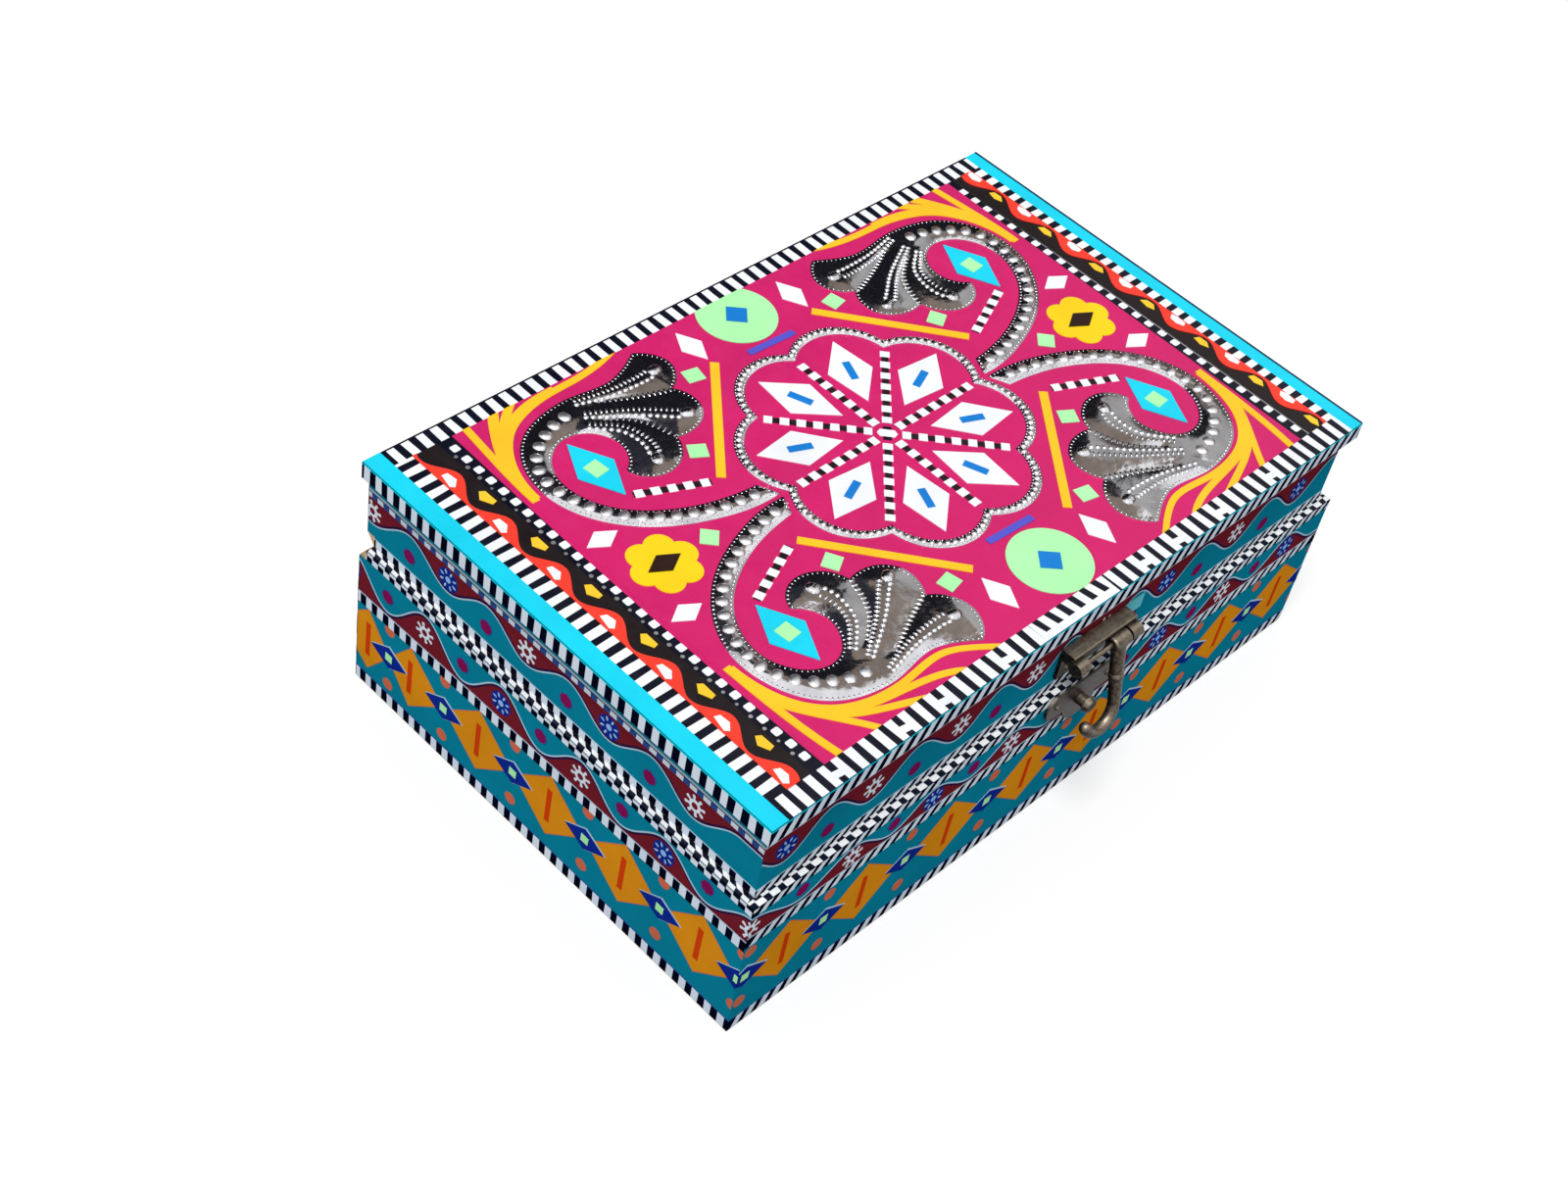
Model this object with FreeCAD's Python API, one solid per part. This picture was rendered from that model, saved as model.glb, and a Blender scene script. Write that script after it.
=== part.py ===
import FreeCAD, Part
import math
import os

# Hinged wooden box, 254 x 162 x 88 mm, covered with cut coloured film and embossed foil.
# Origin at the centre of the underside, +X along the length, -Y the front, +Z up. Millimetres.

# Wooden case
WOOD_LENGTH = 253.5
WOOD_DEPTH = 161.5
BASE_HEIGHT = 55.5
LID_WALL_HEIGHT = 26.5
TOP_THICKNESS = 6.0
WALL = 9.0
FLOOR_THICKNESS = 5.0
LID_RECESS = 2.7

# Film that covers the wood
FILM = 0.25
FILM_MARGIN = 0.3
RIM_GAP = 0.25

# Bevel along the back seam: the two faces meet and stop the open lid
SEAM_GROOVE_DEPTH = 2.6
SEAM_BEVEL_ANGLE = 54.0

# Butt hinges let into the back rims
HINGE_END_DISTANCE = 41.75
HINGE_LENGTH = 24.0
KNUCKLE_RADIUS = 2.2
KNUCKLE_GAP = 0.3
BARREL_CLEARANCE = 0.3
PIN_RADIUS = 0.8
PIN_CLEARANCE = 0.05
LEAF_THICKNESS = 1.0
LEAF_DEPTH = 6.0
LEAF_SET = 0.1
POCKET_CLEARANCE = 0.1
SCREW_SPACING = 12.0
SCREW_HEAD_RADIUS = 1.5
SCREW_HEAD_HEIGHT = 0.9
SCREW_SHANK_RADIUS = 0.7
SCREW_LENGTH = 6.0

# Hasp on the front
HASP_OFFSET = 6.5
HASP_WIDTH = 28.0
HASP_AXIS_RISE = 13.5
HASP_AXIS_STANDOFF = 3.2
HASP_LUG_RADIUS = 2.4
HASP_LUG_LENGTH = 4.5
HASP_SHEET = 1.1
HASP_PLATE_DROP = 12.0
HASP_FLANGE_SET_BACK = 1.0
HASP_FLANGE_ROUND = 0.5
STRAP_KNUCKLE_RADIUS = 2.5
STRAP_KNUCKLE_LENGTH = 7.2
STRAP_KNUCKLE_ROUND = 0.8
STRAP_NECK_RADIUS = 2.3
STRAP_BOSS_RADIUS = 2.4
STRAP_BOSS_DROP = 12.5
STRAP_REST_ANGLE = 13.0
HOOK_BEND_RADIUS = 6.6
HOOK_BAR_RADIUS = 1.9
HOOK_SWEEP = 158.0
CATCH_DROP = 8.8
CATCH_LOBE_SPACING = 11.2
CATCH_LOBE_RADIUS = 4.7
CATCH_LOBE_RISE = 3.4
CATCH_CENTRE_RADIUS = 7.4
CATCH_THICKNESS = 0.9
STUD_NECK_RADIUS = 2.0
STUD_HEAD_RADIUS = 2.9
STUD_LENGTH = 4.6
STUD_HEAD_LENGTH = 1.6
STUD_TENON_RADIUS = 1.3
STUD_TENON_LENGTH = 6.0
NAIL_HEAD_RADIUS = 1.2
NAIL_HEAD_HEIGHT = 0.5
NAIL_SHANK_RADIUS = 0.5
NAIL_LENGTH = 5.0
NAIL_EDGE = 3.4

# Tapes round the top, and the field that they leave
CYAN_TAPE_LEFT = 5.8
CYAN_TAPE_RIGHT = 5.4
END_BAR_TAPE_LEFT = 6.2
END_BAR_TAPE_RIGHT = 4.0
RIBBON_LEFT = 8.7
RIBBON_RIGHT = 8.6
CHECK_TAPE_LEFT = 5.3
CHECK_TAPE_RIGHT = 4.6
BACK_BAR_TAPE = 6.3
FRONT_BAR_TAPE = 7.1
RIBBON_WAVE_PERIOD = 21.8
RIBBON_WAVE_HEIGHT = 2.6
RIBBON_RED_SHARE = 0.385
RIBBON_NECK_RATIO = 1.3
RIBBON_LEFT_SHIFT = -2.7
RIBBON_RIGHT_SHIFT = 7.6

# Pattern on the field, laid out about the rosette
ROSETTE_OFFSET_Y = 2.1
ROSETTE_RADIUS = 46.6
ROSETTE_DEPTH_STRETCH = 1.02
ROSETTE_NOTCH = 6.0
ROSETTE_BORDER = 3.2
ROSETTE_LOBES = 8
EMBOSS_HEIGHT = 1.5
SPOKE_WIDTH = 3.0
SPOKE_START = 4.4
SPOKE_END_GAP = 1.2
HUB_SQUARE = 4.6
PETAL_LENGTH = 27.0
PETAL_WIDTH = 14.6
PETAL_RADIUS = 27.6
SLIP_LENGTH = 7.6
SLIP_WIDTH = 2.4
DISC_RADIUS = 12.7
DISC_SQUARE = 6.4
DISC_SQUARE_TURN = 48.0
FLOWER_RADIUS = 11.0
FLOWER_LOBES = 6
FLOWER_NOTCH_SHARE = 0.8
FLOWER_RHOMBUS = (12.0, 6.9)
CYAN_RHOMBUS = (13.4, 24.8)
CYAN_SQUARE = (5.0, 5.4)
CYAN_SQUARE_TURN = 6.0
SIDE_RHOMBUS = (11.2, 6.8)
END_RHOMBUS = (8.0, 14.2)
GREEN_SQUARE = (5.7, 5.3)
ORANGE_BAR_WIDTH = 2.8
VIOLET_BAR = (18.0, 2.3)
VIOLET_BAR_TURN = -3.0
VIOLET_BAR_GAP = 0.9
DISC_GAP = 1.3

# Sizes that follow from those above
HX = WOOD_LENGTH / 2
HY = WOOD_DEPTH / 2
SEAM = BASE_HEIGHT
LID_TOP = SEAM + LID_WALL_HEIGHT
TOP = LID_TOP + TOP_THICKNESS
HINGE_X = HX - HINGE_END_DISTANCE
HINGE_Y = HY - SEAM_GROOVE_DEPTH
BEVEL_RISE = SEAM_GROOVE_DEPTH * math.tan(math.radians(SEAM_BEVEL_ANGLE))
LID_FRONT = -(HY - LID_RECESS)
LID_SIDE = HX - LID_RECESS
LID_SIDE_WALL = WALL - LID_RECESS
PIN_BORE = PIN_RADIUS + PIN_CLEARANCE
HASP_Y = -(HY + FILM + HASP_AXIS_STANDOFF)
HASP_AXIS_HEIGHT = SEAM + HASP_AXIS_RISE
HASP_STUD_HEIGHT = SEAM - CATCH_DROP
HASP_LEFT = HASP_OFFSET - HASP_WIDTH / 2
HASP_RIGHT = HASP_OFFSET + HASP_WIDTH / 2
STRAP_X = HASP_RIGHT - HASP_LUG_LENGTH - KNUCKLE_GAP - STRAP_KNUCKLE_LENGTH / 2
HOOK_EYE_X = STRAP_X - HOOK_BEND_RADIUS
FIELD_LEFT = -HX + CYAN_TAPE_LEFT + END_BAR_TAPE_LEFT + RIBBON_LEFT + CHECK_TAPE_LEFT
FIELD_RIGHT = HX - CYAN_TAPE_RIGHT - END_BAR_TAPE_RIGHT - RIBBON_RIGHT - CHECK_TAPE_RIGHT
FIELD_BACK = HY - BACK_BAR_TAPE
FIELD_FRONT = -HY + FRONT_BAR_TAPE
ART_X = (FIELD_LEFT + FIELD_RIGHT) / 2
ART_Y = (FIELD_BACK + FIELD_FRONT) / 2 + ROSETTE_OFFSET_Y
VIOLET_BAR_Y = ROSETTE_RADIUS * ROSETTE_DEPTH_STRETCH + VIOLET_BAR_GAP
LEVEL_1 = TOP + FILM
LEVEL_2 = TOP + 2 * FILM

parts = {}


def vec(x, y, z=0.0):
    return FreeCAD.Vector(x, y, z)


def block(x0, x1, y0, y1, z0, z1):
    """Box between two corners."""
    return Part.makeBox(x1 - x0, y1 - y0, z1 - z0, vec(x0, y0, z0))


def rod_x(radius, x0, x1, y, z):
    """Cylinder along X."""
    return Part.makeCylinder(radius, x1 - x0, vec(x0, y, z), vec(1, 0, 0))


def prism(points, direction):
    """Straight-sided outline pushed along a direction."""
    face = Part.Face(Part.makePolygon(points + [points[0]]))
    return face.extrude(direction)


def tile(points, level, thickness=FILM):
    """Cut piece with a straight-sided outline, lying on the top."""
    return prism([vec(x, y, level) for x, y in points], vec(0, 0, thickness))


def group(solids):
    return Part.makeCompound(solids)


def spline_edge(points, level):
    curve = Part.BSplineCurve()
    curve.interpolate([vec(x, y, level) for x, y in points])
    return curve.toShape()


def edges_solid(edges, thickness):
    wire = Part.Wire(Part.__sortEdges__(edges))
    return Part.Face(wire).extrude(vec(0, 0, thickness))


# Laying out the pattern

def stretch(zone, far):
    """Distance from the rosette's centre: zone 0 to 1 lies in the rosette, 1 to 2 runs on to the far edge."""
    inside = min(zone, 1.0)
    outside = max(zone - 1.0, 0.0)
    return inside * ROSETTE_RADIUS + outside * (far - ROSETTE_RADIUS)


def lay(x, y):
    """Place on the field of a layout point, given in zones from the rosette's centre."""
    far_x = FIELD_RIGHT - ART_X if x > 0 else ART_X - FIELD_LEFT
    far_y = FIELD_BACK - ART_Y if y > 0 else ART_Y - FIELD_FRONT
    placed_x = math.copysign(stretch(abs(x), far_x), x)
    placed_y = math.copysign(stretch(abs(y), far_y), y)
    return ART_X + placed_x, ART_Y + placed_y


def mirrored(x, y):
    """The layout point in each quarter of the field."""
    return [(sx * x, sy * y) for sx in (-1, 1) for sy in (-1, 1)]


def turned_rectangle(centre, length, width, angle):
    """Corners of a rectangle turned about its centre, angle in degrees."""
    along = vec(math.cos(math.radians(angle)), math.sin(math.radians(angle)))
    across = vec(-along.y, along.x)
    corners = []
    for a, b in ((-1, -1), (1, -1), (1, 1), (-1, 1)):
        corner = vec(*centre) + along * (a * length / 2) + across * (b * width / 2)
        corners.append((corner.x, corner.y))
    return corners


def rhombus(centre, length, width, angle=0.0):
    """Corners of a rhombus whose first diagonal points along the angle, in degrees."""
    along = vec(math.cos(math.radians(angle)), math.sin(math.radians(angle)))
    across = vec(-along.y, along.x)
    corners = []
    for a, b in ((-1, 0), (0, -1), (1, 0), (0, 1)):
        corner = vec(*centre) + along * (a * length / 2) + across * (b * width / 2)
        corners.append((corner.x, corner.y))
    return corners


def strip_between(start, end, width):
    """Corners of a straight strip from one point to another."""
    run = vec(*end) - vec(*start)
    middle = (vec(*end) + vec(*start)) * 0.5
    angle = math.degrees(math.atan2(run.y, run.x))
    return turned_rectangle((middle.x, middle.y), run.Length, width, angle)


def petal_angle(index):
    return (index + 0.5) * 360.0 / ROSETTE_LOBES


def polar(radius, angle, stretched=1.0):
    """Point about the rosette's centre."""
    turn = math.radians(angle)
    return ART_X + radius * math.cos(turn), ART_Y + radius * stretched * math.sin(turn)


# Fasteners

def screw(x, y, rim, up):
    """Countersunk screw whose head lies flush in a hinge leaf; up is the way it is driven."""
    face = vec(x, y, rim)
    drive = vec(0, 0, up)
    head = Part.makeCone(SCREW_HEAD_RADIUS, SCREW_SHANK_RADIUS, SCREW_HEAD_HEIGHT, face, drive)
    shank = Part.makeCylinder(SCREW_SHANK_RADIUS, SCREW_LENGTH, face, drive)
    return head.fuse(shank).removeSplitter()


def nail(x, z, face_y):
    """Dome-headed nail driven into the front, its head standing on face_y."""
    seat = vec(x, face_y, z)
    shank = Part.makeCylinder(NAIL_SHANK_RADIUS, NAIL_LENGTH, seat, vec(0, 1, 0))
    rim = Part.makeCone(NAIL_HEAD_RADIUS, NAIL_HEAD_RADIUS / 2, NAIL_HEAD_HEIGHT, seat, vec(0, -1, 0))
    return shank.fuse(rim).removeSplitter()


def hinge_screws(hinge_x, rim, up):
    y = HINGE_Y - (LEAF_DEPTH + KNUCKLE_RADIUS) / 2
    return [screw(hinge_x + side * SCREW_SPACING / 2, y, rim, up) for side in (-1, 1)]


# Hinges

def knuckle_spans(hinge_x):
    """X ranges of the two outer knuckles and of the middle one."""
    third = HINGE_LENGTH / 3
    left = (hinge_x - HINGE_LENGTH / 2, hinge_x - third / 2 - KNUCKLE_GAP / 2)
    middle = (hinge_x - third / 2 + KNUCKLE_GAP / 2, hinge_x + third / 2 - KNUCKLE_GAP / 2)
    right = (hinge_x + third / 2 + KNUCKLE_GAP / 2, hinge_x + HINGE_LENGTH / 2)
    return [left, right], [middle]


def hinge_leaf(hinge_x, own_spans, other_spans, z0, z1):
    """Leaf with its knuckles, relieved where the other leaf's knuckles turn."""
    half = HINGE_LENGTH / 2
    leaf = block(hinge_x - half, hinge_x + half, HINGE_Y - LEAF_DEPTH, HINGE_Y, z0, z1)
    for x0, x1 in own_spans:
        leaf = leaf.fuse(rod_x(KNUCKLE_RADIUS, x0, x1, HINGE_Y, SEAM))
    for x0, x1 in other_spans:
        relief = rod_x(KNUCKLE_RADIUS + BARREL_CLEARANCE, x0 - KNUCKLE_GAP, x1 + KNUCKLE_GAP, HINGE_Y, SEAM)
        leaf = leaf.cut(relief)
    bore = rod_x(PIN_BORE, hinge_x - HINGE_LENGTH, hinge_x + HINGE_LENGTH, HINGE_Y, SEAM)
    return leaf.cut(bore).removeSplitter()


def hinge_pocket(hinge_x, z0, z1):
    """Room in a rim for one leaf and for the turning barrel."""
    half = HINGE_LENGTH / 2 + POCKET_CLEARANCE
    front = HINGE_Y - LEAF_DEPTH - POCKET_CLEARANCE
    leaf_room = block(hinge_x - half, hinge_x + half, front, HINGE_Y, z0, z1)
    barrel_half = HINGE_LENGTH / 2 + BARREL_CLEARANCE
    barrel_radius = KNUCKLE_RADIUS + BARREL_CLEARANCE
    barrel = rod_x(barrel_radius, hinge_x - barrel_half, hinge_x + barrel_half, HINGE_Y, SEAM)
    return leaf_room.fuse(barrel)


def seam_bevel(up):
    """Wedge taken off the back edge of the base (up = -1) or of the lid (up = 1)."""
    past = WOOD_LENGTH
    outside = 2 * SEAM_GROOVE_DEPTH
    rise = outside * math.tan(math.radians(SEAM_BEVEL_ANGLE))
    points = [
        vec(-past, HINGE_Y, SEAM),
        vec(-past, HINGE_Y + outside, SEAM),
        vec(-past, HINGE_Y + outside, SEAM + up * rise),
    ]
    return prism(points, vec(2 * past, 0, 0))


def make_hinges():
    """Two butt hinges, their pins and screws. Returns what each rim is cut by."""
    base_cuts = []
    lid_cuts = []
    base_screws = []
    lid_screws = []
    base_top = SEAM - LEAF_SET
    lid_bottom = SEAM + LEAF_SET
    for name, hinge_x in (("left", -HINGE_X), ("right", HINGE_X)):
        outer, middle = knuckle_spans(hinge_x)
        own_base = hinge_screws(hinge_x, base_top, -1)
        own_lid = hinge_screws(hinge_x, lid_bottom, 1)
        base_leaf = hinge_leaf(hinge_x, outer, middle, base_top - LEAF_THICKNESS, base_top)
        lid_leaf = hinge_leaf(hinge_x, middle, outer, lid_bottom, lid_bottom + LEAF_THICKNESS)
        parts[f"hinge_{name}_base_leaf"] = base_leaf.cut(group(own_base))
        parts[f"hinge_{name}_lid_leaf"] = lid_leaf.cut(group(own_lid))
        half = HINGE_LENGTH / 2
        parts[f"hinge_{name}_pin"] = rod_x(PIN_RADIUS, hinge_x - half, hinge_x + half, HINGE_Y, SEAM)
        base_cuts.append(hinge_pocket(hinge_x, base_top - LEAF_THICKNESS, SEAM))
        lid_cuts.append(hinge_pocket(hinge_x, SEAM, lid_bottom + LEAF_THICKNESS))
        base_screws += own_base
        lid_screws += own_lid
    parts["hinge_base_screws"] = group(base_screws)
    parts["hinge_lid_screws"] = group(lid_screws)
    return base_cuts + base_screws, lid_cuts + lid_screws


# Hasp

def make_hasp_plate():
    """Bracket on the lid's front: a nailed back, a flange over the pin and a lug at each end."""
    face = LID_FRONT - FILM
    flange_low = HASP_AXIS_HEIGHT + STRAP_KNUCKLE_RADIUS + BARREL_CLEARANCE
    flange_top = flange_low + HASP_SHEET
    flange_front = HASP_Y + HASP_FLANGE_SET_BACK
    plate_low = flange_top - HASP_PLATE_DROP
    flange = block(HASP_LEFT, HASP_RIGHT, flange_front, face, flange_low, flange_top)
    front_edges = [edge for edge in flange.Edges if edge.BoundBox.YMax < flange_front + HASP_FLANGE_ROUND]
    top_edges = [edge for edge in front_edges if edge.BoundBox.ZMin > flange_low]
    plate = flange.makeFillet(HASP_FLANGE_ROUND, top_edges)
    plate = plate.fuse(block(HASP_LEFT, HASP_RIGHT, face - HASP_SHEET, face, plate_low, flange_top))
    lugs = ((HASP_LEFT, HASP_LEFT + HASP_LUG_LENGTH), (HASP_RIGHT - HASP_LUG_LENGTH, HASP_RIGHT))
    for end0, end1 in lugs:
        plate = plate.fuse(block(end0, end1, flange_front, face, HASP_AXIS_HEIGHT, flange_low))
        plate = plate.fuse(rod_x(HASP_LUG_RADIUS, end0, end1, HASP_Y, HASP_AXIS_HEIGHT))
    bore = rod_x(PIN_BORE, HASP_LEFT - HASP_WIDTH, HASP_RIGHT + HASP_WIDTH, HASP_Y, HASP_AXIS_HEIGHT)
    nail_z = plate_low + NAIL_EDGE
    nail_x = HASP_WIDTH / 2 - NAIL_EDGE
    nails = [nail(HASP_OFFSET + side * nail_x, nail_z, face - HASP_SHEET) for side in (-1, 1)]
    parts["hasp_lid_plate"] = plate.cut(bore).cut(group(nails)).removeSplitter()
    parts["hasp_plate_nails"] = group(nails)
    parts["hasp_pin"] = rod_x(PIN_RADIUS, HASP_LEFT, HASP_RIGHT, HASP_Y, HASP_AXIS_HEIGHT)
    return nails


def hook():
    """Round bar bent about the eye, from the strap's neck under the eye to a rounded tip."""
    eye = vec(HOOK_EYE_X, HASP_Y, HASP_STUD_HEIGHT)
    section = Part.makeCircle(HOOK_BAR_RADIUS, eye + vec(HOOK_BEND_RADIUS, 0, 0), vec(0, 0, 1))
    bar = Part.Face(Part.Wire(section)).revolve(eye, vec(0, 1, 0), HOOK_SWEEP)
    turn = math.radians(HOOK_SWEEP)
    tip = eye + vec(HOOK_BEND_RADIUS * math.cos(turn), 0, -HOOK_BEND_RADIUS * math.sin(turn))
    return bar.fuse(Part.makeSphere(HOOK_BAR_RADIUS, tip))


def make_hasp_strap():
    """Strap that turns on the hasp pin and hooks round the stud, hanging ajar at rest."""
    pivot = vec(STRAP_X, HASP_Y, HASP_AXIS_HEIGHT)
    half = STRAP_KNUCKLE_LENGTH / 2
    knuckle = rod_x(STRAP_KNUCKLE_RADIUS, STRAP_X - half, STRAP_X + half, HASP_Y, HASP_AXIS_HEIGHT)
    rims = [edge for edge in knuckle.Edges if edge.isClosed()]
    knuckle = knuckle.makeFillet(STRAP_KNUCKLE_ROUND, rims)
    length = HASP_AXIS_HEIGHT - HASP_STUD_HEIGHT
    neck = Part.makeCone(STRAP_NECK_RADIUS, HOOK_BAR_RADIUS, length, pivot, vec(0, 0, -1))
    boss = Part.makeSphere(STRAP_BOSS_RADIUS, pivot - vec(0, 0, STRAP_BOSS_DROP))
    bore = rod_x(PIN_BORE, HASP_LEFT, HASP_RIGHT, HASP_Y, HASP_AXIS_HEIGHT)
    strap = knuckle.fuse([neck, boss, hook()]).cut(bore).removeSplitter()
    strap.rotate(pivot, vec(-1, 0, 0), STRAP_REST_ANGLE)
    parts["hasp_strap"] = strap


def make_hasp_catch():
    """Plate with round ends and a round drop below them on the base's front, with its stud and nails."""
    face = -HY - FILM
    out = vec(0, -1, 0)
    seat = face - CATCH_THICKNESS
    lobe_z = HASP_STUD_HEIGHT + CATCH_LOBE_RISE
    plate = Part.makeCylinder(
        CATCH_CENTRE_RADIUS, CATCH_THICKNESS, vec(HOOK_EYE_X, face, HASP_STUD_HEIGHT), out)
    plate = plate.fuse(block(
        HOOK_EYE_X - CATCH_LOBE_SPACING, HOOK_EYE_X + CATCH_LOBE_SPACING, seat, face,
        lobe_z - CATCH_LOBE_RADIUS, lobe_z + CATCH_LOBE_RADIUS))
    nails = []
    for side in (-1, 1):
        lobe_x = HOOK_EYE_X + side * CATCH_LOBE_SPACING
        lobe = Part.makeCylinder(CATCH_LOBE_RADIUS, CATCH_THICKNESS, vec(lobe_x, face, lobe_z), out)
        plate = plate.fuse(lobe)
        nails.append(nail(lobe_x, lobe_z, seat))
    seat_point = vec(HOOK_EYE_X, seat, HASP_STUD_HEIGHT)
    neck_length = STUD_LENGTH - STUD_HEAD_LENGTH
    stud = Part.makeCylinder(STUD_NECK_RADIUS, neck_length, seat_point, out)
    head_point = seat_point + out * neck_length
    stud = stud.fuse(Part.makeCone(STUD_HEAD_RADIUS, STUD_NECK_RADIUS, STUD_HEAD_LENGTH, head_point, out))
    stud = stud.fuse(Part.makeCylinder(STUD_TENON_RADIUS, STUD_TENON_LENGTH, seat_point, vec(0, 1, 0)))
    stud = stud.removeSplitter()
    parts["hasp_catch_plate"] = plate.cut(group(nails + [stud])).removeSplitter()
    parts["hasp_catch_stud"] = stud
    parts["hasp_catch_nails"] = group(nails)
    return nails + [stud]


# Wooden case

def make_base(back_cuts, front_cuts):
    inner_x = HX - WALL
    inner_y = HY - WALL
    front = block(-HX, HX, -HY, -inner_y, 0, SEAM)
    back = block(-HX, HX, inner_y, HY, 0, SEAM)
    parts["base_front_wall"] = front.cut(group(front_cuts))
    parts["base_back_wall"] = back.cut(seam_bevel(-1)).cut(group(back_cuts))
    parts["base_left_wall"] = block(-HX, -inner_x, -inner_y, inner_y, 0, SEAM)
    parts["base_right_wall"] = block(inner_x, HX, -inner_y, inner_y, 0, SEAM)
    parts["base_floor"] = block(-inner_x, inner_x, -inner_y, inner_y, 0, FLOOR_THICKNESS)


def make_lid(back_cuts, front_cuts):
    inner_x = HX - WALL
    inner_y = HY - WALL
    front = block(-LID_SIDE, LID_SIDE, LID_FRONT, LID_FRONT + LID_SIDE_WALL, SEAM, LID_TOP)
    back = block(-LID_SIDE, LID_SIDE, inner_y, HY, SEAM, LID_TOP)
    parts["lid_front_wall"] = front.cut(group(front_cuts))
    parts["lid_back_wall"] = back.cut(seam_bevel(1)).cut(group(back_cuts))
    parts["lid_left_wall"] = block(-LID_SIDE, -inner_x, -inner_y, inner_y, SEAM, LID_TOP)
    parts["lid_right_wall"] = block(inner_x, LID_SIDE, -inner_y, inner_y, SEAM, LID_TOP)
    parts["lid_top_panel"] = block(-HX, HX, -HY, HY, LID_TOP, TOP)


# Film on the sides

def make_base_films(front_cuts):
    low = FILM_MARGIN
    parts["base_front_film"] = block(-HX - FILM, HX + FILM, -HY - FILM, -HY, low, SEAM).cut(group(front_cuts))
    back_top = SEAM - BEVEL_RISE - FILM_MARGIN
    parts["base_back_film"] = block(-HX - FILM, HX + FILM, HY, HY + FILM, low, back_top)
    parts["base_left_film"] = block(-HX - FILM, -HX, -HY, HY, low, back_top)
    parts["base_right_film"] = block(HX, HX + FILM, -HY, HY, low, back_top)
    side_end = HINGE_Y - FILM_MARGIN
    upper_left = block(-HX - FILM, -HX, -HY, side_end, back_top, SEAM)
    upper_right = block(HX, HX + FILM, -HY, side_end, back_top, SEAM)
    parts["base_left_film"] = parts["base_left_film"].fuse(upper_left).removeSplitter()
    parts["base_right_film"] = parts["base_right_film"].fuse(upper_right).removeSplitter()
    width = LID_RECESS - FILM - RIM_GAP
    rim_front = block(-HX, HX, -HY, -HY + width, SEAM, SEAM + FILM)
    rim_left = block(-HX, -HX + width, -HY + width, side_end, SEAM, SEAM + FILM)
    rim_right = block(HX - width, HX, -HY + width, side_end, SEAM, SEAM + FILM)
    parts["base_rim_tapes"] = group([rim_front, rim_left, rim_right])


def make_lid_films(front_cuts):
    low = SEAM + FILM_MARGIN
    side = LID_SIDE
    front = block(-side - FILM, side + FILM, LID_FRONT - FILM, LID_FRONT, low, LID_TOP)
    parts["lid_front_film"] = front.cut(group(front_cuts))
    back_low = SEAM + BEVEL_RISE + FILM_MARGIN
    parts["lid_back_film"] = block(-side - FILM, side + FILM, HY, HY + FILM, back_low, LID_TOP)
    back_end = HINGE_Y - FILM_MARGIN
    for name, x0, x1 in (("left", -side - FILM, -side), ("right", side, side + FILM)):
        main = block(x0, x1, LID_FRONT, HY, back_low, LID_TOP)
        lower = block(x0, x1, LID_FRONT, back_end, low, back_low)
        parts[f"lid_{name}_film"] = main.fuse(lower).removeSplitter()


def make_edge_tapes():
    """Bar tape round the top panel's edge."""
    front = block(-HX - FILM, HX + FILM, -HY - FILM, -HY, LID_TOP, TOP)
    back = block(-HX - FILM, HX + FILM, HY, HY + FILM, LID_TOP, TOP)
    left = block(-HX - FILM, -HX, -HY, HY, LID_TOP, TOP)
    right = block(HX, HX + FILM, -HY, HY, LID_TOP, TOP)
    parts["top_edge_tapes"] = group([front, back, left, right])


# Tapes on the top

def top_strip(x0, x1, y0, y1):
    return block(x0, x1, y0, y1, TOP, LEVEL_1)


def make_top_tapes():
    cyan_left = -HX + CYAN_TAPE_LEFT
    cyan_right = HX - CYAN_TAPE_RIGHT
    bars_left = cyan_left + END_BAR_TAPE_LEFT
    bars_right = cyan_right - END_BAR_TAPE_RIGHT
    ribbon_left = bars_left + RIBBON_LEFT
    ribbon_right = bars_right - RIBBON_RIGHT
    parts["top_cyan_tapes"] = group([top_strip(-HX, cyan_left, -HY, HY), top_strip(cyan_right, HX, -HY, HY)])
    parts["top_bar_tapes"] = group([
        top_strip(cyan_left, cyan_right, FIELD_BACK, HY),
        top_strip(cyan_left, cyan_right, -HY, FIELD_FRONT),
        top_strip(cyan_left, bars_left, FIELD_FRONT, FIELD_BACK),
        top_strip(bars_right, cyan_right, FIELD_FRONT, FIELD_BACK),
    ])
    parts["top_black_ribbons"] = group([
        top_strip(bars_left, ribbon_left, FIELD_FRONT, FIELD_BACK),
        top_strip(ribbon_right, bars_right, FIELD_FRONT, FIELD_BACK),
    ])
    parts["top_check_tapes"] = group([
        top_strip(ribbon_left, FIELD_LEFT, FIELD_FRONT, FIELD_BACK),
        top_strip(FIELD_RIGHT, ribbon_right, FIELD_FRONT, FIELD_BACK),
    ])
    parts["top_field_film"] = top_strip(FIELD_LEFT, FIELD_RIGHT, FIELD_FRONT, FIELD_BACK)
    left_wave = wavy_ribbon(bars_left, RIBBON_LEFT * RIBBON_RED_SHARE, 1, RIBBON_LEFT_SHIFT)
    right_wave = wavy_ribbon(bars_right, RIBBON_RIGHT * RIBBON_RED_SHARE, -1, RIBBON_RIGHT_SHIFT)
    parts["top_red_ribbons"] = group([left_wave, right_wave])


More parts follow.
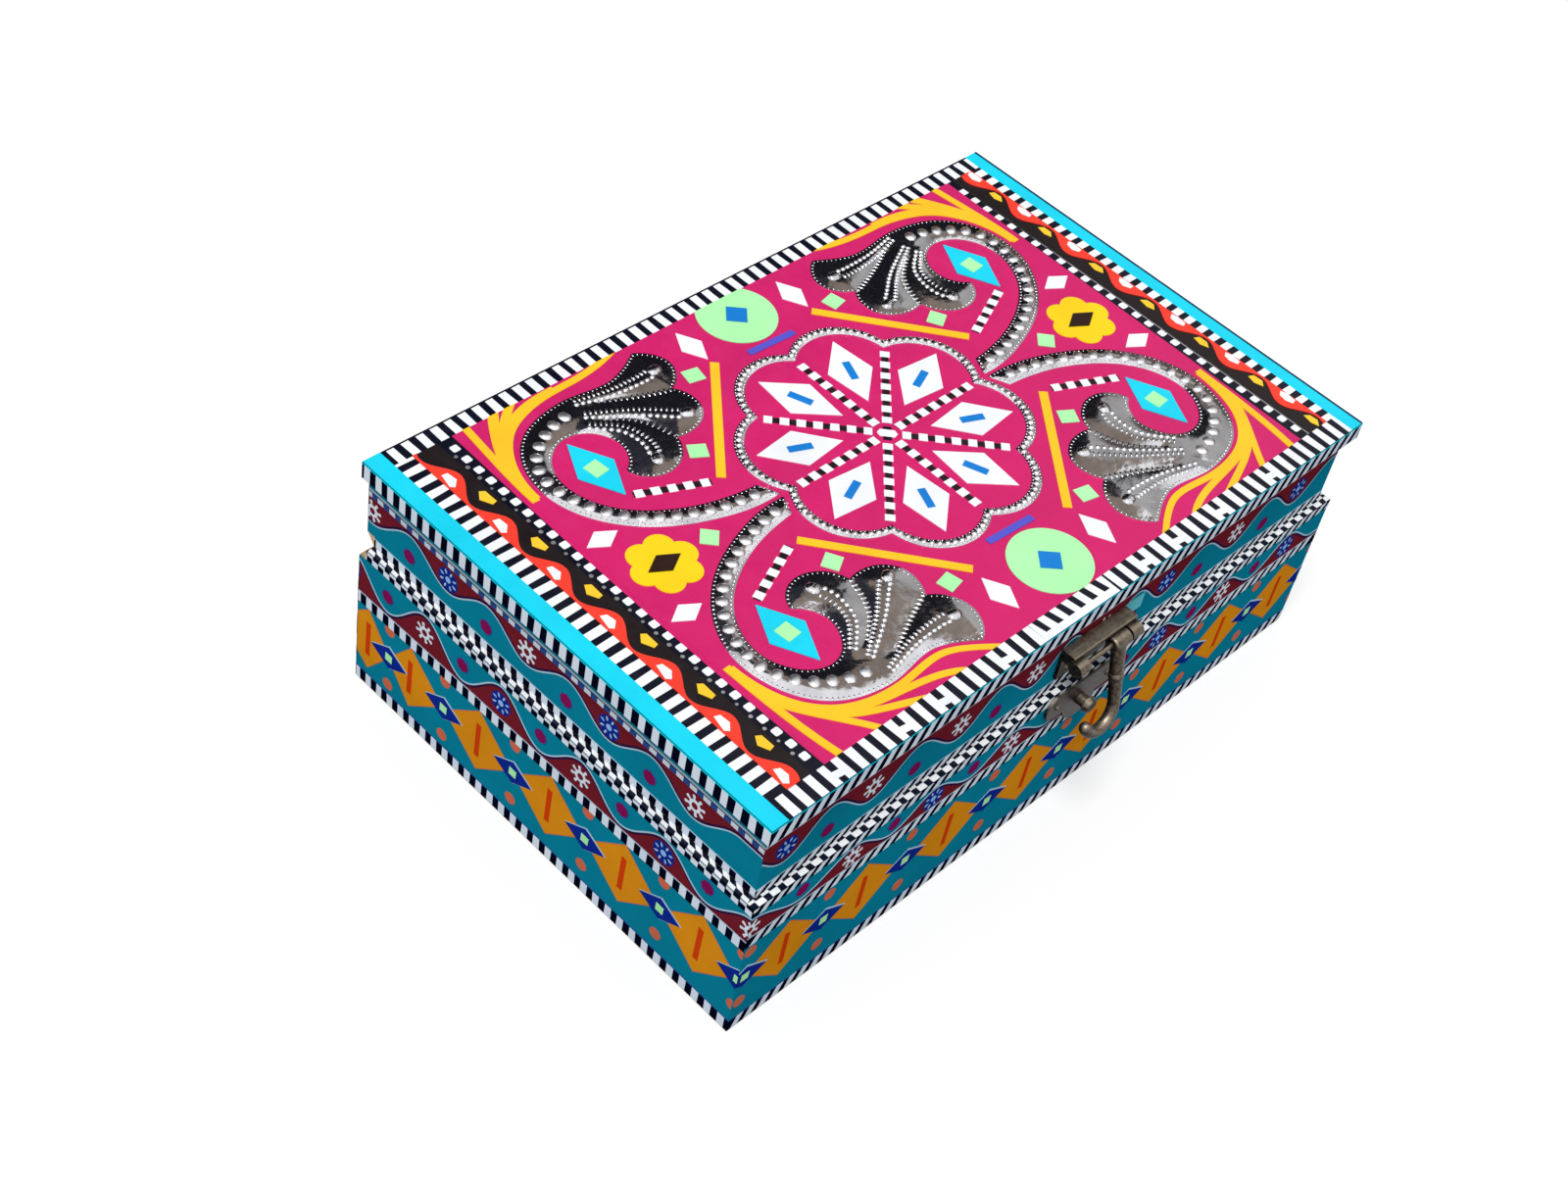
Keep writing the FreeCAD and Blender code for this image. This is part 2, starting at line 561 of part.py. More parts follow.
def wavy_ribbon(outer_x, mean_width, side, shift):
    """Red ribbon on the black one, straight outside and wavy inside; side is the way it faces."""
    swing = min(RIBBON_WAVE_HEIGHT, mean_width / RIBBON_NECK_RATIO)
    length = FIELD_BACK - FIELD_FRONT
    count = 8 * max(1, round(length / RIBBON_WAVE_PERIOD))
    wave = []
    for step in range(count + 1):
        y = FIELD_FRONT + length * step / count
        phase = 2 * math.pi * (FIELD_BACK - y + shift) / RIBBON_WAVE_PERIOD
        wave.append((outer_x + side * (mean_width - swing * math.cos(phase)), y))
    edge = spline_edge(wave, LEVEL_1)
    corners = [wave[-1], (outer_x, FIELD_BACK), (outer_x, FIELD_FRONT), wave[0]]
    rest = Part.makePolygon([vec(x, y, LEVEL_1) for x, y in corners])
    return edges_solid([edge] + rest.Edges, FILM)


# Rosette

def scalloped_edges(notch_radius, peak_radius):
    """Arcs of the rosette's lobes through the notches and the lobes' peaks."""
    edges = []
    step = 360.0 / ROSETTE_LOBES
    for index in range(ROSETTE_LOBES):
        start = polar(notch_radius, index * step, ROSETTE_DEPTH_STRETCH)
        peak = polar(peak_radius, petal_angle(index), ROSETTE_DEPTH_STRETCH)
        end = polar(notch_radius, (index + 1) * step, ROSETTE_DEPTH_STRETCH)
        arc = Part.Arc(vec(*start, LEVEL_1), vec(*peak, LEVEL_1), vec(*end, LEVEL_1))
        edges.append(arc.toShape())
    return edges


def make_rosette():
    outer_notch = ROSETTE_RADIUS - ROSETTE_NOTCH
    inner_notch = outer_notch - ROSETTE_BORDER
    inner_peak = ROSETTE_RADIUS - ROSETTE_BORDER
    outer = Part.Face(Part.Wire(scalloped_edges(outer_notch, ROSETTE_RADIUS)))
    inner = Part.Face(Part.Wire(scalloped_edges(inner_notch, inner_peak)))
    parts["rosette_border"] = outer.cut(inner).extrude(vec(0, 0, EMBOSS_HEIGHT)).Solids[0]
    spokes = []
    petals = []
    for index in range(ROSETTE_LOBES):
        angle = index * 360.0 / ROSETTE_LOBES
        end = inner_notch - SPOKE_END_GAP
        spokes.append(tile(strip_between(polar(SPOKE_START, angle), polar(end, angle), SPOKE_WIDTH), LEVEL_1))
        middle = polar(PETAL_RADIUS, petal_angle(index))
        petals.append(tile(rhombus(middle, PETAL_LENGTH, PETAL_WIDTH, petal_angle(index)), LEVEL_1))
    hub = tile(turned_rectangle((ART_X, ART_Y), HUB_SQUARE, HUB_SQUARE, 45.0), LEVEL_1)
    parts["rosette_spokes"] = group(spokes + [hub])
    parts["rosette_petals"] = group(petals)


# Embossed scrolls

SCROLL_OUTER = [
    (0.930, 0.016), (1.113, 0.021), (1.307, 0.077), (1.493, 0.167), (1.625, 0.262), (1.740, 0.386),
    (1.837, 0.547), (1.894, 0.730), (1.901, 0.912), (1.866, 1.141), (1.788, 1.404), (1.670, 1.592),
    (1.519, 1.693), (1.360, 1.718), (1.219, 1.679), (1.087, 1.664), (0.966, 1.736), (0.815, 1.874),
]
SCROLL_LOBE_1 = [
    (0.815, 1.874), (0.708, 1.711), (0.670, 1.520), (0.708, 1.321), (0.826, 1.159),
]
SCROLL_LOBE_2 = [
    (0.826, 1.159), (0.773, 0.987), (0.779, 0.869), (0.858, 0.773), (0.976, 0.730), (1.083, 0.740),
]
SCROLL_LOBE_3 = [
    (1.083, 0.740), (1.118, 0.644), (1.193, 0.569), (1.293, 0.541), (1.396, 0.584), (1.459, 0.704),
]
SCROLL_INNER = [
    (1.459, 0.704), (1.387, 0.783), (1.357, 0.891), (1.382, 1.014), (1.454, 1.177), (1.551, 1.231),
    (1.652, 1.170), (1.731, 1.014), (1.777, 0.869), (1.767, 0.708), (1.714, 0.564), (1.617, 0.429),
    (1.484, 0.318), (1.316, 0.227), (1.131, 0.172), (0.995, 0.152),
]


def make_scrolls():
    names = {(-1, -1): "front_left", (-1, 1): "back_left", (1, -1): "front_right", (1, 1): "back_right"}
    runs = [SCROLL_OUTER, SCROLL_LOBE_1, SCROLL_LOBE_2, SCROLL_LOBE_3, SCROLL_INNER]
    for (sx, sy), name in names.items():
        edges = []
        for run in runs:
            edges.append(spline_edge([lay(sx * x, sy * y) for x, y in run], LEVEL_1))
        foot = [lay(sx * x, sy * y) for x, y in (SCROLL_INNER[-1], SCROLL_OUTER[0])]
        edges.append(Part.makeLine(vec(*foot[0], LEVEL_1), vec(*foot[1], LEVEL_1)))
        parts[f"scroll_{name}"] = edges_solid(edges, EMBOSS_HEIGHT)


# Cut pieces on the field

FLOWER_PLACE = 1.742
CYAN_RHOMBUS_PLACE = (1.576, 0.820)
SIDE_RHOMBUS_PLACE = (1.876, 0.361)
END_RHOMBUS_PLACE = (0.451, 1.567)
GREEN_SQUARE_PLACES = [((0.631, 1.181), 12.0), ((1.067, 0.579), 30.0), ((1.442, 0.000), 45.0)]
ORANGE_BAR_ENDS = ((0.438, 1.202), (1.104, 0.326))
CHECK_DASH_ENDS = ((1.165, 0.335), (1.547, 0.530))


def make_discs():
    """Green discs, trimmed to the field. Returns where they are."""
    field = block(FIELD_LEFT, FIELD_RIGHT, FIELD_FRONT, FIELD_BACK, LEVEL_1, LEVEL_2)
    reach = VIOLET_BAR_Y + VIOLET_BAR[1] / 2 + DISC_GAP + DISC_RADIUS
    places = [(ART_X, ART_Y + side * reach) for side in (-1, 1)]
    discs = [Part.makeCylinder(DISC_RADIUS, FILM, vec(*place, LEVEL_1)) for place in places]
    parts["green_discs"] = group([disc.common(field) for disc in discs])
    return places


def make_blue_slips(disc_places):
    """Blue slips on the rosette's petals and blue squares on the green discs."""
    slips = []
    for index in range(ROSETTE_LOBES):
        angle = petal_angle(index)
        slips.append(turned_rectangle(polar(PETAL_RADIUS, angle), SLIP_LENGTH, SLIP_WIDTH, angle))
    for place in disc_places:
        slips.append(turned_rectangle(place, DISC_SQUARE, DISC_SQUARE, DISC_SQUARE_TURN))
    parts["blue_slips"] = group([tile(slip, LEVEL_2) for slip in slips])


def flower(centre):
    """Lobed flower: arcs between notches on a circle, a lobe pointing along +X."""
    edges = []
    half_step = 180.0 / FLOWER_LOBES
    notch = FLOWER_NOTCH_SHARE * FLOWER_RADIUS
    for index in range(FLOWER_LOBES):
        middle = 2 * half_step * index
        points = []
        lobe = ((notch, middle - half_step), (FLOWER_RADIUS, middle), (notch, middle + half_step))
        for radius, angle in lobe:
            turn = math.radians(angle)
            reach = vec(radius * math.cos(turn), radius * math.sin(turn))
            points.append(vec(*centre, LEVEL_1) + reach)
        edges.append(Part.Arc(*points).toShape())
    return edges_solid(edges, FILM)


def make_flowers():
    places = [lay(side * FLOWER_PLACE, 0.0) for side in (-1, 1)]
    parts["yellow_flowers"] = group([flower(place) for place in places])
    parts["flower_rhombi"] = group([tile(rhombus(place, *FLOWER_RHOMBUS), LEVEL_2) for place in places])


def make_rhombi():
    """Cyan rhombi inside the scrolls and white ones near the field's edges."""
    cyan = [rhombus(lay(*place), *CYAN_RHOMBUS) for place in mirrored(*CYAN_RHOMBUS_PLACE)]
    parts["cyan_rhombi"] = group([tile(outline, LEVEL_1) for outline in cyan])
    white = [rhombus(lay(*place), *SIDE_RHOMBUS) for place in mirrored(*SIDE_RHOMBUS_PLACE)]
    white += [rhombus(lay(*place), *END_RHOMBUS) for place in mirrored(*END_RHOMBUS_PLACE)]
    parts["white_rhombi"] = group([tile(outline, LEVEL_1) for outline in white])


def make_green_squares():
    """Light green squares on the field, and smaller ones on the cyan rhombi."""
    squares = []
    for (x, y), turn in GREEN_SQUARE_PLACES:
        places = mirrored(x, y) if y else [(-x, y), (x, y)]
        for sx, sy in places:
            angle = -turn if sx * sy < 0 else turn
            squares.append(tile(turned_rectangle(lay(sx, sy), *GREEN_SQUARE, angle), LEVEL_1))
    for place in mirrored(*CYAN_RHOMBUS_PLACE):
        squares.append(tile(turned_rectangle(lay(*place), *CYAN_SQUARE, CYAN_SQUARE_TURN), LEVEL_2))
    parts["green_squares"] = group(squares)


def make_bars():
    """Straight strips round the rosette."""
    orange = []
    dashes = []
    for sx, sy in mirrored(1, 1):
        start, end = [lay(sx * x, sy * y) for x, y in ORANGE_BAR_ENDS]
        orange.append(tile(strip_between(start, end, ORANGE_BAR_WIDTH), LEVEL_1))
        start, end = [lay(sx * x, sy * y) for x, y in CHECK_DASH_ENDS]
        dashes.append(tile(strip_between(start, end, SPOKE_WIDTH), LEVEL_1))
    parts["orange_bars"] = group(orange)
    parts["check_dashes"] = group(dashes)
    places = [(ART_X, ART_Y + side * VIOLET_BAR_Y) for side in (-1, 1)]
    bars = [turned_rectangle(place, *VIOLET_BAR, VIOLET_BAR_TURN) for place in places]
    parts["violet_bars"] = group([tile(outline, LEVEL_1) for outline in bars])


# Corner flourishes

# Strokes of a front and of a back flourish: points, width at the start and at the end
FRONT_STROKES = [
    ([(1.965, 0.800), (1.957, 1.150), (1.940, 1.600), (1.908, 2.030)], 2.4, 2.4),
    ([(1.955, 1.150), (1.888, 1.390), (1.788, 1.655), (1.640, 2.040)], 2.4, 2.1),
    ([(1.925, 1.200), (1.875, 1.390), (1.775, 1.635), (1.575, 1.860), (1.325, 2.040)], 2.4, 2.1),
    ([(1.862, 1.430), (1.690, 1.705), (1.420, 1.830), (1.040, 2.040)], 2.4, 2.0),
    ([(1.955, 0.820), (1.925, 1.090), (1.846, 1.408), (1.704, 1.648), (1.540, 1.756), (1.350, 1.778),
      (1.180, 1.746), (1.060, 1.756), (0.960, 1.825), (0.760, 2.030)], 2.6, 1.9),
]
BACK_STROKES = [
    ([(1.965, 0.820), (1.955, 1.150), (1.935, 1.580), (1.912, 2.030)], 2.5, 2.4),
    ([(1.945, 1.150), (1.893, 1.450), (1.825, 1.720), (1.725, 2.040)], 2.8, 3.2),
    ([(1.890, 1.380), (1.795, 1.680), (1.715, 1.850), (1.605, 2.040)], 3.0, 2.6),
    ([(1.905, 1.300), (1.810, 1.600), (1.672, 1.820), (1.520, 1.920), (1.360, 1.945)], 2.8, 1.6),
    ([(1.955, 0.840), (1.915, 1.170), (1.845, 1.450), (1.735, 1.690), (1.600, 1.825), (1.440, 1.895),
      (1.240, 1.910), (1.080, 1.945), (0.900, 2.040)], 2.8, 2.2),
]


def stroke(points, width_start, width_end):
    """Tapering curved strip along a line of points."""
    left = []
    right = []
    last = len(points) - 1
    for index, (x, y) in enumerate(points):
        before = points[max(index - 1, 0)]
        after = points[min(index + 1, last)]
        run = vec(after[0] - before[0], after[1] - before[1]).normalize()
        half = (width_start + (width_end - width_start) * index / last) / 2
        left.append((x - run.y * half, y + run.x * half))
        right.append((x + run.y * half, y - run.x * half))
    edges = [spline_edge(left, LEVEL_1), spline_edge(right, LEVEL_1)]
    for a, b in ((left[0], right[0]), (left[-1], right[-1])):
        edges.append(Part.makeLine(vec(*a, LEVEL_1), vec(*b, LEVEL_1)))
    return edges_solid(edges, FILM)


def make_flourishes():
    """Fans of curved strokes in the corners, trimmed to the field."""
    field = block(FIELD_LEFT, FIELD_RIGHT, FIELD_FRONT, FIELD_BACK, LEVEL_1, LEVEL_2)
    flourishes = []
    for sx, sy in mirrored(1, 1):
        strokes = []
        for points, width_start, width_end in (FRONT_STROKES if sy < 0 else BACK_STROKES):
            laid = [lay(sx * x, sy * y) for x, y in points]
            strokes.append(stroke(laid, width_start, width_end))
        flourishes.append(strokes[0].fuse(strokes[1:]).common(field).removeSplitter().Solids[0])
    parts["corner_flourishes"] = group(flourishes)


def main():
    base_back_cuts, lid_back_cuts = make_hinges()
    lid_front_cuts = make_hasp_plate()
    base_front_cuts = make_hasp_catch()
    make_hasp_strap()
    make_base(base_back_cuts, base_front_cuts)
    make_lid(lid_back_cuts, lid_front_cuts)
    make_base_films(base_front_cuts)
    make_lid_films(lid_front_cuts)
    make_edge_tapes()
    make_top_tapes()
    make_rosette()
    make_scrolls()
    disc_places = make_discs()
    make_blue_slips(disc_places)
    make_flowers()
    make_rhombi()
    make_green_squares()
    make_bars()
    make_flourishes()
    os.makedirs("parts", exist_ok=True)
    for name, shape in parts.items():
        shape.exportStep(f"parts/{name}.step")
        print(name, len(shape.Solids), round(shape.Volume, 3), shape.isValid())


main()
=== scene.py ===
import math
import random

import bmesh
import bpy
import numpy as np
from mathutils import Matrix, Vector
from mathutils.geometry import delaunay_2d_cdt


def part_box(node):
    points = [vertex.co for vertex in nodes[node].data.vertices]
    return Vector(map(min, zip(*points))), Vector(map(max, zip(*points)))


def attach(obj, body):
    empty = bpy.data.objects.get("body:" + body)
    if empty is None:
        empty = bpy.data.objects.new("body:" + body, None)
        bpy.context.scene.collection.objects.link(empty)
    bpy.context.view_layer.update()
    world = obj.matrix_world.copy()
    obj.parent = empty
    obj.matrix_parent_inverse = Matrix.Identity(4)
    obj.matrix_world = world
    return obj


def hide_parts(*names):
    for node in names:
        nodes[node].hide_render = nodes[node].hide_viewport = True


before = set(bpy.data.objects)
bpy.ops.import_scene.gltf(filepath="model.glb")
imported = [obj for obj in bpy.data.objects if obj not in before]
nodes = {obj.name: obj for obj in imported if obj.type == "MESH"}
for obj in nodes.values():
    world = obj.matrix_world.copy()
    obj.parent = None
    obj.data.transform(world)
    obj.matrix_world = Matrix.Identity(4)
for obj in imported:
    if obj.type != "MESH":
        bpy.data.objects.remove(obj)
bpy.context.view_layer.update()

MM = 0.001
cut = random.Random(7)


# Colours and materials

NOISE_LOW = 0.3
NOISE_HIGH = 0.7

# Noise: scale per metre, detail and stretch. Roughness: least and most. Relief: strength and depth in metres
FILM_NOISE = ((55.0, 3.0), (210.0, 3.0), (320.0, 2.0))
FILM_VARIATION = 0.06
FILM_ROUGHNESS = (0.24, 0.38)
FILM_RELIEF = (0.06, 0.00012)
FOIL_NOISE = ((160.0, 3.0), (420.0, 3.0), (130.0, 4.0))
FOIL_DEPTH = 0.0004
GRAIN_NOISE = (420.0, 6.0, (0.08, 1.0, 1.0))
GRAIN_TINTS = ((0.3, (178, 132, 84)), (0.5, (214, 172, 120)), (0.72, (228, 192, 142)))
GRAIN_ROUGHNESS = (0.5, 0.68)
GRAIN_RELIEF = (0.2, 0.0003)
METAL_NOISE = ((900.0, 5.0), (1500.0, 4.0))
METAL_ROUGHNESS = (0.36, 0.52)
METAL_RELIEF = (0.3, 0.0002)
MOTTLE_WEAR = 0.16


def srgb(red, green, blue):
    """Linear colour of an 8-bit sRGB one."""
    channels = []
    for value in (red, green, blue):
        share = value / 255
        channels.append(share / 12.92 if share <= 0.04045 else ((share + 0.055) / 1.055) ** 2.4)
    return (*channels, 1.0)


def shaded(colour, factor):
    return (*[min(1.0, channel * factor) for channel in colour[:3]], 1.0)


def connect(tree, node, inputs):
    """Sets a node's inputs: a plain value is stored, and another node's output is linked."""
    for name, value in inputs.items():
        if isinstance(value, bpy.types.NodeSocket):
            tree.links.new(value, node.inputs[name])
        else:
            node.inputs[name].default_value = value


def add_node(tree, kind, inputs, operation=None):
    node = tree.nodes.new("ShaderNode" + kind)
    if operation:
        node.operation = operation
    connect(tree, node, inputs)
    return node


def new_material(name):
    """Material with its node tree and its shader."""
    material = bpy.data.materials.new(name)
    material.use_nodes = True
    tree = material.node_tree
    return material, tree, tree.nodes["Principled BSDF"]


def coordinate(tree, kind):
    return tree.nodes.new("ShaderNodeTexCoord").outputs[kind]


def noise(tree, scale, detail, stretch=(1.0, 1.0, 1.0)):
    place = add_node(tree, "Mapping", {"Vector": coordinate(tree, "Object"), "Scale": stretch})
    inputs = {"Vector": place.outputs["Vector"], "Scale": scale, "Detail": detail}
    return add_node(tree, "TexNoise", inputs).outputs["Fac"]


def ramp(tree, factor, stops):
    """Colour ramp with (position, colour) stops."""
    node = add_node(tree, "ValToRGB", {"Fac": factor})
    elements = node.color_ramp.elements
    elements[0].position, elements[0].color = stops[0]
    elements[1].position, elements[1].color = stops[-1]
    for position, colour in stops[1:-1]:
        elements.new(position).color = colour
    return node.outputs["Color"]


def span(tree, factor, limits):
    """Noise factor spread between two values."""
    low, high = limits
    inputs = {"Value": factor, "From Min": NOISE_LOW, "From Max": NOISE_HIGH, "To Min": low, "To Max": high}
    return add_node(tree, "MapRange", inputs).outputs["Result"]


def bump(tree, height, relief):
    strength, depth = relief
    inputs = {"Height": height, "Strength": strength, "Distance": depth}
    return add_node(tree, "Bump", inputs).outputs["Normal"]


def surface(name, noises, tints, roughness, relief, values):
    """Material with noise in its colour, its roughness and its relief."""
    material, tree, shader = new_material(name)
    cloudy, handled, waves = [noise(tree, *look) for look in noises]
    connect(tree, shader, {
        "Base Color": ramp(tree, cloudy, tints),
        "Roughness": span(tree, handled, roughness),
        "Normal": bump(tree, waves, relief),
        **values,
    })
    return material


def film(name, colour, gloss):
    """Cut film: slightly uneven colour, handled surface, faint waves where it is glued down."""
    dull = shaded(colour, 1 - FILM_VARIATION)
    bright = shaded(colour, 1 + FILM_VARIATION)
    tints = [(NOISE_LOW, dull), (NOISE_HIGH, bright)]
    return surface(name, FILM_NOISE, tints, FILM_ROUGHNESS, FILM_RELIEF, {"Specular IOR Level": gloss})


def foil(name, dull, bright, roughness, crinkle):
    """Metal foil with fine crinkles."""
    tints = [(NOISE_LOW, dull), (NOISE_HIGH, bright)]
    return surface(name, FOIL_NOISE, tints, roughness, (crinkle, FOIL_DEPTH), {"Metallic": 1.0})


def wood(name):
    """Planed pale softwood: grain drawn out along X with darker growth lines."""
    tints = [(position, srgb(*rgb)) for position, rgb in GRAIN_TINTS]
    return surface(name, [GRAIN_NOISE] * 3, tints, GRAIN_ROUGHNESS, GRAIN_RELIEF, {})


def aged_metal(name, dark, bright, wear_and_light_low, wear_and_light_high, top_light):
    """Antique metal: dark and mottled with wear, and lighter where it looks up: a painted highlight for the
    light from above.
    """
    material, tree, shader = new_material(name)
    mottle, pits = [noise(tree, *look) for look in METAL_NOISE]
    upward = add_node(tree, "SeparateXYZ", {"Vector": coordinate(tree, "Normal")}).outputs["Z"]
    mottled = span(tree, mottle, (0.0, MOTTLE_WEAR))
    # Painted light: faces that look up get the lighter colour, as if lit from above; the mottle adds the
    # real wear
    mottle_and_top_light = add_node(tree, "Math", {0: upward, 1: top_light, 2: mottled}, "MULTIPLY_ADD").outputs["Value"]
    connect(tree, shader, {
        "Base Color": ramp(tree, mottle_and_top_light, [(wear_and_light_low, dark), (wear_and_light_high, bright)]),
        "Metallic": 1.0,
        "Roughness": span(tree, mottle, METAL_ROUGHNESS),
        "Normal": bump(tree, pits, METAL_RELIEF),
    })
    return material


TOP_COLOURS = {
    "magenta": (210, 28, 106),
    "cyan": (10, 214, 242),
    "navy": (6, 10, 30),
    "black": (30, 22, 24),
    "white": (244, 246, 248),
    # A brighter copy of the white: painted light for the front ledge's squares
    "lit_white": (255, 255, 255),
    "red": (248, 62, 44),
    "yellow": (255, 212, 14),
    "gold": (255, 205, 48),
    "amber": (255, 200, 34),
    "light_green": (178, 254, 178),
    "blue": (8, 126, 212),
    "violet": (88, 86, 206),
    "brown": (44, 22, 14),
    "teal_shade": (10, 58, 84),
}
SIDE_COLOURS = {
    "teal": (10, 132, 160),
    "maroon": (118, 32, 44),
    "navy": (6, 10, 30),
    "cyan": (10, 214, 242),
    "white": (226, 238, 255),
    "side_orange": (226, 146, 26),
    "red_orange": (214, 66, 16),
    "light_green": (178, 254, 178),
    "deep_blue": (18, 44, 146),
    "steel_blue": (44, 84, 156),
    "pale_blue": (150, 196, 244),
    "ice": (178, 206, 226),
    "plum": (46, 22, 62),
    "purple": (132, 22, 86),
    "peach": (212, 110, 80),
    "lilac": (204, 198, 212),
    "bare_cyan": (110, 206, 220),
}
TOP_GLOSS = 0.4
SIDE_GLOSS = 0.0
films = {name: film("film_" + name, srgb(*rgb), TOP_GLOSS) for name, rgb in TOP_COLOURS.items()}
side_films = {name: film("side_" + name, srgb(*rgb), SIDE_GLOSS) for name, rgb in SIDE_COLOURS.items()}
FOIL = foil("foil_mirror", srgb(205, 205, 210), srgb(238, 238, 242), (0.05, 0.14), 0.35)
PEARL = foil("foil_pearl", srgb(226, 226, 230), srgb(250, 250, 252), (0.30, 0.39), 0.1)
WOOD = wood("wood_pale")
# The bronze's last number lightens faces that look up: painted light
BRONZE = aged_metal("bronze_antique", srgb(40, 32, 28), srgb(164, 151, 133), 0.08, 0.56, 0.45)
BRASS = aged_metal("brass_hinge", srgb(128, 100, 52), srgb(206, 172, 104), 0.05, 0.12, 0.0)


# Thin pieces on a face: the lowest is LAY thick, and each layer over it rises by LIFT

LAY = 0.08
LIFT = 0.025


class Sheet:
    """Cut pieces collected in one mesh on a face; outlines are in millimetres along two directions."""

    def __init__(self, origin, across, up, palette=films, length=0.0):
        self.palette = palette
        self.length = length
        self.origin = Vector(origin)
        self.across = Vector(across)
        self.up = Vector(up)
        self.out = self.across.cross(self.up)
        self.slope = 0.0
        self.pivot = 0.0
        self.mesh = bmesh.new()
        self.materials = []

    def climb(self, u):
        """How far sloping rows have climbed at a place along the sheet."""
        return self.slope * (u - self.pivot)

    def place(self, u, v, height):
        return (self.origin + self.across * u + self.up * (v + self.climb(u)) + self.out * height) * MM

    def along(self, place):
        """Distance along the sheet of a place on the axis that it runs along."""
        axis = 0 if self.across.x else 1
        return (place - self.origin[axis]) * self.across[axis]

    def index(self, material):
        if material not in self.materials:
            self.materials.append(material)
        return self.materials.index(material)

    def piece(self, outline, colour, level):
        """Closed flat piece from the face up to the top of a layer."""
        high = LAY + LIFT * level
        bottom = [self.mesh.verts.new(self.place(u, v, 0)) for u, v in outline]
        top = [self.mesh.verts.new(self.place(u, v, high)) for u, v in outline]
        faces = [self.mesh.faces.new(top), self.mesh.faces.new(bottom[::-1])]
        count = len(outline)
        for i in range(count):
            j = (i + 1) % count
            faces.append(self.mesh.faces.new((bottom[i], bottom[j], top[j], top[i])))
        for face in faces:
            face.material_index = self.index(self.palette.get(colour, colour))

    def rectangle(self, u0, u1, v0, v1, colour, level):
        self.piece([(u0, v0), (u1, v0), (u1, v1), (u0, v1)], colour, level)

    def clipped(self, outline, colour, level):
        """Convex piece cut off at both ends of the face."""
        kept = outline
        for limit, side in ((0.0, 1), (self.length, -1)):
            trimmed = []
            for (ua, va), (ub, vb) in zip(kept, kept[1:] + kept[:1]):
                a_in = (ua - limit) * side >= 0
                b_in = (ub - limit) * side >= 0
                if a_in:
                    trimmed.append((ua, va))
                if a_in != b_in:
                    share = (limit - ua) / (ub - ua)
                    trimmed.append((limit, va + (vb - va) * share))
            kept = trimmed
        if len(kept) > 2:
            self.piece(kept, colour, level)

    def line(self, points, width, colour, level):
        """Narrow strip of even width along a run of points, cut off at both ends of the face."""
        sides = []
        last = len(points) - 1
        for i, (u, v) in enumerate(points):
            a = points[max(i - 1, 0)]
            b = points[min(i + 1, last)]
            run = math.hypot(b[0] - a[0], b[1] - a[1])
            du = (b[1] - a[1]) / run * width / 2
            dv = (b[0] - a[0]) / run * width / 2
            sides.append(((u - du, v + dv), (u + du, v - dv)))
        for (left_a, right_a), (left_b, right_b) in zip(sides, sides[1:]):
            self.clipped([right_a, right_b, left_b, left_a], colour, level)

    def build(self, name, body, slot, *replaced):
        bmesh.ops.recalc_face_normals(self.mesh, faces=self.mesh.faces)
        add_piece(self.mesh, name, self.materials, body, slot, *replaced)


def put(name, data):
    """New object in the scene."""
    made = bpy.data.objects.new(name, data)
    bpy.context.scene.collection.objects.link(made)
    return made


def put_mesh(mesh, name, materials):
    data = bpy.data.meshes.new(name)
    mesh.to_mesh(data)
    mesh.free()
    for material in materials:
        data.materials.append(material)
    return put(name, data)


def add_piece(mesh, name, materials, body, slot, *replaced):
    """Turns a bmesh into a piece that rides on a body and stands for CAD nodes."""
    piece = put_mesh(mesh, name, materials)
    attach(piece, body)
    if replaced:
        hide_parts(*replaced)


def box_mm(node):
    low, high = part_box(node)
    return low / MM, high / MM


def along_x(level):
    """Level sheet whose rows run along X."""
    return Sheet((0, 0, level), (1, 0, 0), (0, 1, 0))


def along_y(level):
    """Level sheet whose rows run along Y."""
    return Sheet((0, 0, level), (0, 1, 0), (-1, 0, 0))


# Repeated motifs

GEAR_RADIUS = 3.6
GEAR_PETALS = 8
GEAR_TURN = 0.3
GEAR_CORE = 0.6
GEAR_EYE = 0.32
DOT_FLOWER_RADIUS = 4.1
DOT_FLOWER_EYE = 0.27
DASHES = 8
PALE_DASH = 3

# Corners of a petal, in shares of its angle and of the radius, and of a dash, in shares of the radius
PETAL = ((-0.17, 0.5), (-0.2, 0.98), (-0.1, 1.06), (0.1, 1.06), (0.2, 0.98), (0.17, 0.5))
DASH = ((0.5, -0.05), (0.72, -0.1), (0.88, -0.03), (0.88, 0.03), (0.72, 0.1), (0.5, 0.05))


def rough(value, swing):
    """Hand-cut edge: a place off by a little."""
    return value + cut.uniform(-swing, swing)


def bar_row(sheet, u0, u1, v0, v1, period, white, level=1, dark="navy", swing=0.14, share=0.5, lean=0.0,
            bright="white", neck=0.0):
    """White bars across a dark tape, cut by hand; white is the middle of one of them."""
    sheet.rectangle(u0, u1, v0 + neck, v1 - neck, dark, level)
    half = period * share / 2
    first = white - math.ceil((white - u0) / period) * period
    for i in range(math.ceil((u1 - first) / period) + 1):
        foot = first + i * period - lean / 2
        head = foot + lean
        corners = [(rough(foot - half, swing), v0), (rough(foot + half, swing), v0),
                   (rough(head + half, swing), v1), (rough(head - half, swing), v1)]
        corners = [(min(max(u, u0), u1), v) for u, v in corners]
        if corners[1][0] - corners[0][0] > swing and corners[2][0] - corners[3][0] > swing:
            sheet.piece(corners, bright, level + 1)


